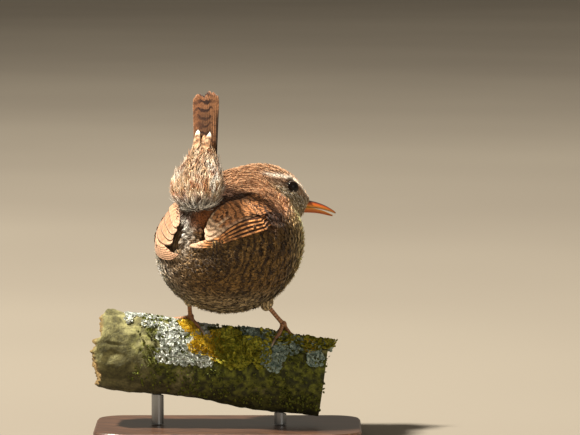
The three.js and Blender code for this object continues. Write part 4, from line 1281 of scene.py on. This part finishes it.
# Bill horn: smooth keratin, dark along the ridge, orange on the sides, yellow along the cutting edge
BILL_HORN, tree, shader = new_material("bill_horn", Roughness=0.38, IOR=1.54, Subsurface_Weight=0.15)
shader.inputs["Subsurface Radius"].default_value = (0.0008, 0.0003, 0.0001)
vane = add(tree, "ShaderNodeUVMap", {"uv_map": "Vane"})
height, along_bill, _ = add(tree, "ShaderNodeSeparateXYZ", Vector=vane).outputs
tones = [(0.0, "#e6a832"), (0.2, "#d0701c"), (0.55, "#a84a18"), (0.8, "#46251a"), (1.0, "#2a1810")]
side_tone = add(tree, "ShaderNodeValToRGB", stops=tones, Fac=height)
place = add(tree, "ShaderNodeTexCoord").outputs["Object"]
grain = add(tree, "ShaderNodeTexNoise", Vector=place, Scale=in_mm(10 / 9), Detail=3.0)
tip_dark = add(tree, "ShaderNodeMapRange", Value=along_bill, From_Min=0.55, From_Max=1.05, To_Max=0.6)
mixed = add(tree, "ShaderNodeMix", {"data_type": "RGBA"}, Factor=tip_dark, i6=side_tone, i7=paint("#5a3018"))
bump = add(tree, "ShaderNodeBump", Strength=0.3, Distance=0.05 * MM, Height=grain)
connect(shader, Base_Color=mixed.outputs[2], Normal=bump)
# How far in front of the eyes the bill comes out of the feathers
BILL_ROOT = 7.9


def mandible(side, half, depth, reach, rows=40, columns=28):
    """Rings along the bill: half ovals that taper as (1 - share)^0.75 and arch by 0.5 sin(pi share)."""
    run = np.linspace(-1.3, reach, rows)
    share = np.maximum(0, run / reach)
    taper = np.maximum(1 - share, 0) ** 0.75
    wide = 0.3 + (half - 0.3) * taper
    tall = 0.32 + (depth - 0.32) * taper
    arch = 0.5 * np.sin(np.pi * share)
    seam = -2.7 + np.tan((11 + 1.6 * side) * DEGREE) * run + arch + 0.15 * side
    angle = np.arange(columns) * 2 * np.pi / columns
    flat = np.sin(angle)[None]
    # The side is a little pinched towards the ridge, and the cutting edge is sharp
    pinch = 1 - 0.18 * np.maximum(flat, 0) ** 2
    out = np.cos(angle)[None] * wide[:, None] * pinch
    under = -0.12 * (1 - np.abs(np.cos(angle))[None])
    rise = seam[:, None] + side * np.maximum(flat * tall[:, None], under)
    ring = head_point(BILL_ROOT + run[:, None] * np.ones((1, columns)), out, rise)
    tone = np.stack(np.broadcast_arrays(np.clip(flat, 0, 1), share[:, None] * np.ones(out.shape)), -1)
    return ring, tone


# Each half of the bill: which side of the seam it is on, half width, depth and length
for name, side, half, depth, reach in (
    ("bill_upper", 1, 1.75, 2.45, 10.2),
    ("bill_lower", -1, 1.5, 1.75, 9.6),
):
    ring, tone = mandible(side, half, depth, reach)
    if side < 0:
        tone = tone * [0.55, 0.8]
    horn = closed_piece(f"{name}_horn", [ring], BILL_HORN, "bill_horn")
    set_map(horn, "Vane", tone, render=True)
    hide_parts(name)


# Perch

PERCH_TURN = 31 * DEGREE
PERCH_SLOPE = 7.8 * DEGREE
PERCH_RADIUS = 12.3
PERCH_MIDDLE = np.array([0, 0, 23.0])
PERCH_ENDS = (-41, 31)
PERCH_ALONG = -np.array([
    np.cos(PERCH_TURN) * np.cos(PERCH_SLOPE), np.sin(PERCH_TURN) * np.cos(PERCH_SLOPE), np.sin(PERCH_SLOPE)])
PERCH_ACROSS = -unit(np.cross(PERCH_ALONG, UPRIGHT))
PERCH_UP = np.cross(PERCH_ALONG, PERCH_ACROSS)


def bark_radius(run, turn):
    """The branch's own radius: 12.3 mm with slow swells and a knob above its broken end."""
    knob = 1.5 * bell(run, PERCH_ENDS[0], 5) * np.maximum(0, np.cos(turn))
    swell_along = 0.35 * np.sin(0.16 * run + 2 * turn) + 0.3 * np.sin(3 * turn - 0.09 * run)
    return PERCH_RADIUS + swell_along + knob


def perch_point(run, turn, height=0.0):
    """A point on the branch: along it, round it from its top towards the far side, and above its bark."""
    run, turn = np.broadcast_arrays(np.asarray(run, float), np.asarray(turn, float))
    radius = bark_radius(run, turn) + height
    return (
        PERCH_MIDDLE
        + run[..., None] * PERCH_ALONG
        + (radius * np.cos(turn))[..., None] * PERCH_UP
        + (radius * np.sin(turn))[..., None] * PERCH_ACROSS
    )


def off_axis(points):
    """How points lie from the branch's axis, straight out from it."""
    from_middle = points - PERCH_MIDDLE
    return from_middle - (from_middle @ PERCH_ALONG)[:, None] * PERCH_ALONG


# Legs and feet

# Leg scales: horny plates, reddish brown with paler edges, mottled at 0.7 mm
LEG_SCALES, tree, shader = new_material("leg_scales", Roughness=0.42, IOR=1.5)
vane = add(tree, "ShaderNodeUVMap", {"uv_map": "Vane"})
_, down_leg, _ = add(tree, "ShaderNodeSeparateXYZ", Vector=vane).outputs
plate = add(tree, "ShaderNodeMath", {"operation": "FRACT"}, i0=down_leg)
place = add(tree, "ShaderNodeTexCoord").outputs["Object"]
grain = add(tree, "ShaderNodeTexNoise", Vector=place, Scale=in_mm(2 / 3), Detail=3.0)
mottle = add(tree, "ShaderNodeMath", {"operation": "MULTIPLY_ADD"}, i0=grain, i1=0.7, i2=-0.2)
worn = add(tree, "ShaderNodeMath", {"operation": "MULTIPLY_ADD"}, i0=plate, i1=0.45, i2=mottle)
tones = [(0.05, "#5a3420"), (0.45, "#a8724a"), (0.8, "#d8ae86")]
tone = add(tree, "ShaderNodeValToRGB", stops=tones, Fac=worn)
bump = add(tree, "ShaderNodeBump", Strength=0.8, Distance=0.12 * MM, Height=worn)
connect(shader, Base_Color=tone, Normal=bump)
# Claws: smooth horn, brown with a paler tip
CLAW_HORN, tree, shader = new_material("claw_horn", Roughness=0.35, IOR=1.54)
vane = add(tree, "ShaderNodeUVMap", {"uv_map": "Vane"})
_, down_claw, _ = add(tree, "ShaderNodeSeparateXYZ", Vector=vane).outputs
tones = [(0.0, "#4a3527"), (0.6, "#8f7a66"), (1.0, "#c9bba8")]
connect(shader, Base_Color=add(tree, "ShaderNodeValToRGB", stops=tones, Fac=down_claw))

# Where each foot is along and round the branch, the height of its joint above the bark, the turns of its
# front and hind toes from straight across the branch in degrees, and which way the inner toes are
LEGS = {
    "left": {"foot": (-14.2, 0), "joint": 2, "front": -18, "hind": 148, "inward": 1},
    "right": {"foot": (15.8, 0), "joint": 3.8, "front": 15, "hind": 196, "inward": -1},
}
# Length of each toe and how far it is fanned out; the first is the hind toe
TOES = {1: (6.8, 0), 2: (7.6, 34), 3: (9.6, 2), 4: (8.2, -34)}
TOE_HEIGHT = 0.92
TARSUS_PLATES = 9
TOE_PLATES = 12


def beside_foot(leg, turn, reach, height):
    """A point at a reach from the foot in a direction on the branch, and a height above its bark."""
    run, over = leg["foot"]
    over = over + reach * np.cos(turn * DEGREE) / PERCH_RADIUS
    return perch_point(run + reach * np.sin(turn * DEGREE), over, height)


def taper(values, run):
    """A width that follows a smooth curve through its values."""
    return spline(np.array(values)[:, None], run)[:, 0]


def limb_piece(name, node, grids, plates, material, slot_name):
    """One piece of a limb from grids of rings; plates number the scales from ring to ring."""
    piece = closed_piece(name, grids, material, slot_name)
    places = []
    for grid, number in zip(grids, plates):
        down = number[:, None] * np.ones(grid.shape[:2])
        places.append(np.stack([np.zeros(down.shape), down], -1).reshape(-1, 2))
    set_map(piece, "Vane", np.concatenate(places), render=True)
    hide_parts(node)


def tarsus(side_name, leg):
    """The bare shank from heel to foot: plates overlap down its front, and it ends in a round joint."""
    heel = from_trunk(*THIGHS[side_name]["heel"])
    joint = perch_point(*leg["foot"], leg["joint"])
    at = np.linspace(0, 1, 60)
    bow = unit(np.cross(joint - heel, HEAD_S))
    path = heel + (joint - heel) * at[:, None] + 0.12 * np.sin(np.pi * at)[:, None] * bow
    step = 1 + 0.07 * (np.mod(at * TARSUS_PLATES, 1.0) - 0.5)
    from_joint = (at - 1) * np.linalg.norm(joint - heel) / 1.1
    knuckle = 1.08 * np.sqrt(np.maximum(1 - from_joint**2, 0))
    radii = np.maximum(taper([0.95, 0.75, 0.7, 0.7, 0.8], at) * step, knuckle)
    grids = [tube(path, radii, 20, PERCH_ALONG), ball_grid(joint, 1.12, unit(heel - joint), 16, 20)]
    plates = [at * TARSUS_PLATES, np.linspace(TARSUS_PLATES - 1, TARSUS_PLATES, 16)]
    limb_piece(f"tarsus_{side_name}_scutes", f"tarsus_{side_name}", grids, plates, LEG_SCALES, "leg_scales")


def toe_and_claw(side_name, leg, number, length, fanned):
    """A toe from the foot along the bark, swollen by its pads, and the hooked claw at its end."""
    turn = leg["hind"] if number == 1 else leg["front"] + leg["inward"] * fanned
    first = blend(leg["joint"], TOE_HEIGHT, ramp(0.1, 0, 1))
    second = blend(leg["joint"], TOE_HEIGHT, ramp(0.6, 0, 1))
    knots = [(0.6, first), (0.28 * length, second)]
    knots += [(share * length, TOE_HEIGHT) for share in (0.6, 0.8, 1)]
    run = np.linspace(0, 1, 44)
    path = spline(np.array([beside_foot(leg, turn, *knot) for knot in knots]), run)
    joints = 2 if number == 1 else min(number, 4)
    pads = 1 + 0.1 * np.cos(2 * np.pi * run * joints) + 0.03 * (np.mod(run * TOE_PLATES, 1) - 0.5)
    close = np.maximum(np.sqrt(np.clip((1 - run) / 0.06, 0, 1)), 0.25)
    toe = tube(path, taper([0.6, 0.62, 0.58, 0.56, 0.5], run) * pads * close, 14, PERCH_ALONG)
    part = f"{side_name}_{number}"
    limb_piece(f"toe_{part}_pads", f"toe_{part}", [toe], [run * TOE_PLATES], LEG_SCALES, "leg_scales")
    hook = [(0.1, 0), (0.6, 0.1), (1.62, 0.35), (2.88, 0.05), (3.6, -0.25)]
    knots = [beside_foot(leg, turn, length + reach, TOE_HEIGHT + rise) for reach, rise in hook]
    run = np.linspace(0, 1, 24)
    claw = tube(spline(np.array(knots), run), taper([0.42, 0.45, 0.38, 0.25, 0.06], run), 12, PERCH_ALONG)
    limb_piece(f"claw_{part}_horn", f"claw_{part}", [claw], [run], CLAW_HORN, "claw_horn")


for side_name, leg in LEGS.items():
    tarsus(side_name, leg)
    for number, (length, fanned) in TOES.items():
        toe_and_claw(side_name, leg, number, length, fanned)


# Branch, moss and lichen

# Bark: dead wood in olive and buff under a thin green film of algae, with 1.1 mm grain and 4 mm cracks
BARK, tree, shader = new_material("mossy_bark", Roughness=0.88, IOR=1.5)
place = add(tree, "ShaderNodeTexCoord").outputs["Object"]
ground = add(tree, "ShaderNodeAttribute", {"attribute_name": "Ground"})
fine = add(tree, "ShaderNodeTexNoise", Vector=place, Scale=in_mm(10 / 9), Detail=5.0, Roughness=0.65)
rough = add(tree, "ShaderNodeTexNoise", Vector=place, Scale=in_mm(1 / 0.26), Detail=4.0)
tint = add(tree, "ShaderNodeMapRange", Value=fine, From_Min=0.3, From_Max=0.7, To_Min=0.45, To_Max=1.45)
scaled = add(tree, "ShaderNodeVectorMath", {"operation": "SCALE"}, i0=ground, Scale=tint)
both = add(tree, "ShaderNodeMath", {"operation": "ADD"}, i0=fine, i1=rough)
bump = add(tree, "ShaderNodeBump", Strength=0.9, Distance=0.6 * MM, Height=both)
connect(shader, Base_Color=scaled, Normal=bump)
# Dry leafy lichens and cushion moss: matt crusts, mottled at the size of their grains
DRY = {"detail": 3.0, "relief": 0.7, "depth_mm": 0.3, "Roughness": 0.9, "IOR": 1.45}
LICHEN_GREY = mottled("grey_shield_lichen", "#738c82", "#cbd8c8", 1.2, **DRY)
LICHEN_WHITE = mottled("white_crust_lichen", "#bcc5b8", "#f8f8f0", 0.9, **DRY)
LICHEN_YELLOW = mottled("yellow_wall_lichen", "#d8ae18", "#ffe24c", 1.0, **DRY)
LICHEN_OLIVE = mottled("olive_lichen", "#737c20", "#cdbf3c", 1.1, **DRY)
MOSS = mottled("cushion_moss", "#3a3d18", "#7d8228", 0.8, **DRY)


def drawn_in(rim, length, shrink):
    """A rim drawn in towards the branch's axis, to the given lengths along it."""
    return PERCH_MIDDLE + off_axis(rim) * shrink + length[:, None] * PERCH_ALONG


DRY_BARK = (linear("#5b5630"), linear("#8d8758"))
GREEN_BARK = (linear("#33350f"), linear("#6c6f20"))
# Painted shade for the branch's underside
BARK_UNDERSIDE_SHADE = linear("#2c2a12")
CUT_WOOD = linear("#7d6438")


def branch_bark():
    """The branch: rings along it, rough by layered noise and furrows, with a splintered and a sawn end."""
    rows, columns = 260, 200
    turn = np.arange(columns) * 2 * np.pi / columns
    run = np.linspace(*PERCH_ENDS, rows)
    edge = 1.1 * np.sin(2 * turn + 0.8) + 0.8 * np.sin(5 * turn)
    share = ((PERCH_ENDS[1] - run) / (PERCH_ENDS[1] - PERCH_ENDS[0]))[:, None]
    lengths = run[:, None] + edge[None] * ramp(share, 0.6, 1)
    turns = np.broadcast_to(turn, (rows, columns))
    base = perch_point(lengths, turns)
    stretched = np.stack([lengths * 0.35, turns * PERCH_RADIUS, 0 * turns], -1)
    rough = 0.45 * lattice(base, 4.0, 41) + 0.25 * lattice(base, 1.6, 43)
    furrow = -0.45 * np.maximum(0, lattice(stretched, 1.5, 47) - 0.15)
    shaped = perch_point(lengths, turns, rough * 0.7 + furrow - 0.15)
    # Left end: splintered round its edge and hollowed; right end: flat saw cut
    around = np.stack([9 * np.cos(turn), 9 * np.sin(turn), 0 * turn], -1)
    inner = []
    for depth, shrink in ((-1.0, 0.95), (-0.4, 0.86), (1.2, 0.7), (2.6, 0.45), (3.2, 0.2), (3.3, 0.01)):
        jagged = shrink**3 * (1.3 * lattice(around * shrink, 1.3, 51) + 0.7 * lattice(around, 0.6, 52))
        inner.append(drawn_in(shaped[0], lengths[0] + depth + jagged, shrink))
    saw = [drawn_in(shaped[-1], lengths[-1] + 0.02, shrink) for shrink in (0.985, 0.8, 0.5, 0.2, 0.01)]
    grid = np.concatenate([np.array(inner[::-1]), shaped, np.array(saw)])
    wood = np.zeros(grid.shape[:2])
    wood[: len(inner)] = 1
    wood[-len(saw):] = 1
    top = (grid - PERCH_MIDDLE) @ PERCH_UP / PERCH_RADIUS
    far = (grid - PERCH_MIDDLE) @ PERCH_ALONG
    moss = ramp(lattice(grid, 5.0, 53) + 0.4 * lattice(grid, 1.5, 54) + ramp(far, -14, -4), -0.2, 0.5)
    bare = blend(*DRY_BARK, ramp(lattice(grid, 3.0, 55), -0.4, 0.4)[..., None])
    green = blend(*GREEN_BARK, ramp(lattice(grid, 1.2, 57), -0.4, 0.5)[..., None])
    ground = blend(bare, green, (moss * ramp(far, -36, -20))[..., None])
    # Painted shade: the bark darkens towards the branch's underside
    ground = blend(ground, BARK_UNDERSIDE_SHADE, (0.6 * ramp(-top, -0.1, 0.9))[..., None])
    ground = blend(ground, CUT_WOOD, wood[..., None])
    piece = closed_piece("branch_bark", [grid], BARK, "bark")
    set_markings(piece, ground, ground, np.zeros(grid.shape))
    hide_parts("perch")


# A lobe's width from root to tip, and its ring: curled up at both edges, with one point under it
LOBE_AT = np.array([0.0, 0.45, 0.8, 1.0])
LOBE_SHAPE = np.array([0.35, 0.9, 1.0, 0.6])
LOBE_ACROSS = np.array([-1, -0.45, 0.1, 0.6, 1.0, 0.0])
LOBE_LIFT = np.array([0.28, 0.02, 0.06, 0.0, 0.3, -0.14])
# Height of its root over the bark: a little under it
ROOT_HEIGHT = -0.15


def leaf_lobes(name, where, count, size, material, seed, lean):
    """Small curled lobes in rosettes: each a closed leaf, its free edge wavy and lifted off the bark.

    where gives (run, turn) middles of rosettes, and each lobe points away from its rosette's middle.
    lean is the least and greatest angle between lobe and bark.
    """
    rng = np.random.default_rng(seed)
    pick = rng.integers(0, len(where), count)
    angle = rng.uniform(0, 2 * np.pi, count)
    spread_by = size * 1.6 * np.sqrt(rng.uniform(0, 1, count))
    out_run, out_turn = np.cos(angle), np.sin(angle) / PERCH_RADIUS
    run = where[pick, 0] + spread_by * out_run
    turn = where[pick, 1] + spread_by * out_turn
    root = perch_point(run, turn, ROOT_HEIGHT)
    tip_way = unit(perch_point(run + 0.2 * out_run, turn + 0.2 * out_turn, ROOT_HEIGHT) - root)
    up = unit(off_axis(root))
    side = np.cross(up, tip_way)
    rise = rng.uniform(*lean, count)
    length = size * rng.uniform(0.6, 1.2, count)
    reach = length[:, None] * LOBE_AT[None]
    climb = np.sin(rise)[:, None] * reach * (0.4 + 0.6 * LOBE_AT[None])
    spine = root[:, None] + tip_way[:, None] * (np.cos(rise)[:, None] * reach)[..., None]
    spine = spine + up[:, None] * climb[..., None]
    ruffle = rng.uniform(-0.16, 0.16, (count, len(LOBE_AT), len(LOBE_ACROSS)))
    half = 0.5 * length[:, None] * LOBE_SHAPE[None]
    lift = (LOBE_LIFT[None, None] + ruffle) * length[:, None, None] * 0.5
    points = spine[:, :, None] + side[:, None, None] * (half[:, :, None] * LOBE_ACROSS)[..., None]
    points = points + up[:, None, None] * lift[..., None]
    make_piece(name, points, *tube_faces(len(LOBE_AT), len(LOBE_ACROSS), count), material, "bark")


def rosettes(*stretches):
    """Middles of rosettes: so many over a stretch of the branch and a part of its round, from a seed."""
    places = []
    for count, run, turn, seed in stretches:
        rng = np.random.default_rng(seed)
        places.append(np.stack([rng.uniform(*run, count), rng.uniform(*turn, count)], -1))
    return np.concatenate(places)


branch_bark()
GREY_SPOTS = rosettes(
    (26, (4, 16), (-0.5, 0.7), 61),
    (8, (11, 17), (-1.25, -0.8), 71),
    (7, (19, 29), (-1.0, -0.2), 72),
    (12, (20, 31), (-0.3, 0.8), 79),
)
OLIVE_SPOTS = rosettes(
    (16, (-3.0, 3.2), (-1.25, -0.5), 63),
    (5, (7, 10.5), (-1.15, -0.7), 80),
    (9, (23, 30), (-0.5, 0.6), 73),
    (4, (11, 17), (-0.5, 0.0), 81),
)
WHITE_TOP_SPOTS = rosettes((110, (-34, -7), (-0.6, 0.7), 65))
WHITE_SIDE_SPOTS = rosettes((100, (-23, -6), (-1.5, -0.5), 74))
YELLOW_SPOTS = rosettes(
    (6, (-17, -11), (-0.5, 0.1), 67),
    (22, (-11.5, -3.5), (-1.2, -0.5), 75),
    (4, (22, 26), (-0.7, -0.2), 76),
)
MOSS_SPOTS = rosettes((900, (-30, 31), (-2.5, 1.4), 77))
leaf_lobes("lichen_grey", GREY_SPOTS, 2800, 1.3, LICHEN_GREY, 62, (0.15, 0.9))
leaf_lobes("lichen_olive", OLIVE_SPOTS, 1300, 1.9, LICHEN_OLIVE, 64, (0.2, 0.9))
leaf_lobes("lichen_white_top", WHITE_TOP_SPOTS, 4200, 0.68, LICHEN_WHITE, 66, (0.2, 1.1))
leaf_lobes("lichen_white_side", WHITE_SIDE_SPOTS, 3600, 0.72, LICHEN_WHITE, 69, (0.2, 1.0))
leaf_lobes("lichen_yellow", YELLOW_SPOTS, 2400, 1.05, LICHEN_YELLOW, 68, (0.5, 1.4))
leaf_lobes("moss_tufts", MOSS_SPOTS, 3000, 0.8, MOSS, 78, (0.6, 1.4))


# Stand

# Satin-lacquered walnut: brown with darker grain lines 1.2 mm apart, low gloss
STAND_WOOD, tree, shader = new_material(
    "satin_walnut", Roughness=0.42, IOR=1.5, Coat_Weight=0.25, Coat_Roughness=0.3
)
place = add(tree, "ShaderNodeTexCoord").outputs["Object"]
grain_turn = (0, 0, -31 * DEGREE)
turned = add(tree, "ShaderNodeMapping", Vector=place, Rotation=grain_turn, Scale=(60, 800, 800))
grain = add(tree, "ShaderNodeTexNoise", Vector=turned, Scale=1.0, Detail=5.0, Roughness=0.6)
tones = [(0.25, "#2a1a10"), (0.5, "#4a3020"), (0.75, "#6a4830")]
tone = add(tree, "ShaderNodeValToRGB", stops=tones, Fac=grain)
bump = add(tree, "ShaderNodeBump", Strength=0.15, Distance=0.1 * MM, Height=grain)
connect(shader, Base_Color=tone, Normal=bump)
# Brushed steel rod: fine marks round it, 0.15 mm apart, drawn at 0.3 mm to show
ROD_STEEL, tree, shader = new_material("brushed_steel", Metallic=1.0, Base_Color=paint("#9a9c9e"))
place = add(tree, "ShaderNodeTexCoord").outputs["Object"]
stretched = add(tree, "ShaderNodeMapping", Vector=place, Scale=(100, 100, 3300))
marks = add(tree, "ShaderNodeTexNoise", Vector=stretched, Scale=1.0, Detail=2.0)
connect(shader, Roughness=add(tree, "ShaderNodeMapRange", Value=marks, To_Min=0.22, To_Max=0.45))
for name, material in (("stand_base", STAND_WOOD), ("stand_rod_1", ROD_STEEL), ("stand_rod_2", ROD_STEEL)):
    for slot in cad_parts[name].material_slots:
        slot.material = material


# Floor, light and camera

# Painted board: pale, matt and almost even
FLOOR_PALE = mottled("pale_matt_floor", "#7e766a", "#867e71", 500, Roughness=0.9, Specular_IOR_Level=0.1)
FLOOR_HALF = 14.0
mesh = bpy.data.meshes.new("floor")
corners = [[-FLOOR_HALF, -FLOOR_HALF, 0], [FLOOR_HALF, -FLOOR_HALF, 0]]
corners += [[FLOOR_HALF, FLOOR_HALF, 0], [-FLOOR_HALF, FLOOR_HALF, 0]]
mesh.from_pydata(corners, [], [[0, 1, 2, 3]])
mesh.materials.append(FLOOR_PALE)
floor = bpy.data.objects.new("floor", mesh)
bpy.context.scene.collection.objects.link(floor)

IMAGE_WIDTH = 580
PIXELS_PER_MM = 3.1
SENSOR_WIDTH = 36.0
CAMERA_TURN = 31 * DEGREE
CAMERA_RISE = 4.5 * DEGREE
CAMERA_AWAY = 1500.0
across_view = np.array([-np.cos(CAMERA_TURN), -np.sin(CAMERA_TURN), 0])
level_view = np.array([np.sin(CAMERA_TURN), -np.cos(CAMERA_TURN), 0])
into_view = level_view * np.cos(CAMERA_RISE) - UPRIGHT * np.sin(CAMERA_RISE)
up_view = level_view * np.sin(CAMERA_RISE) + UPRIGHT * np.cos(CAMERA_RISE)
# The picture's middle is 20 mm to the right of the trunk's centre and 8.2 mm over it
aim = TRUNK_CENTRE + 20 * across_view + 8.2 * up_view


def look_along(obj, at, way, up):
    """Turns an object so that its -Z runs along a way and its Y is up, and puts it at a point in mm."""
    back = -unit(way)
    right = unit(np.cross(up, back))
    turn = np.stack([right, np.cross(back, right), back], axis=1)
    matrix = np.eye(4)
    matrix[:3, :3] = turn
    matrix[:3, 3] = np.asarray(at) * MM
    obj.matrix_world = matrix.T.tolist()


WARM_WHITE = (1.0, 0.95, 0.86)


def light(name, way_to, distance, size, power):
    """A square soft box of a size in mm, at a distance from the bird along a way, facing it."""
    data = bpy.data.lights.new(name, "AREA")
    data.shape = "SQUARE"
    data.size = size * MM
    data.energy = power
    data.color = WARM_WHITE
    lamp = bpy.data.objects.new(name, data)
    bpy.context.scene.collection.objects.link(lamp)
    at = TRUNK_CENTRE + unit(np.array(way_to)) * distance
    look_along(lamp, at, TRUNK_CENTRE - at, UPRIGHT)


light("key_soft_box", -0.53 * across_view + up_view - 0.22 * into_view, 2600, 220, 225.0)
light("fill_soft_box", 0.5 * across_view + 0.3 * up_view - 0.9 * into_view, 2200, 1400, 7.4)
world = bpy.data.worlds.new("studio")
world.use_nodes = True
connect(world.node_tree.nodes["Background"], Color=(1.0, 0.9, 0.74, 1), Strength=0.25)
bpy.context.scene.world = world
bpy.context.scene.view_settings.view_transform = "Standard"

camera_data = bpy.data.cameras.new("camera")
camera_data.sensor_width = SENSOR_WIDTH
camera_data.lens = SENSOR_WIDTH * PIXELS_PER_MM * CAMERA_AWAY / IMAGE_WIDTH
camera_data.clip_start = 0.05
camera_data.clip_end = 60.0
camera = bpy.data.objects.new("camera", camera_data)
bpy.context.scene.collection.objects.link(camera)
look_along(camera, aim - into_view * CAMERA_AWAY, into_view, UPRIGHT)
bpy.context.scene.camera = camera
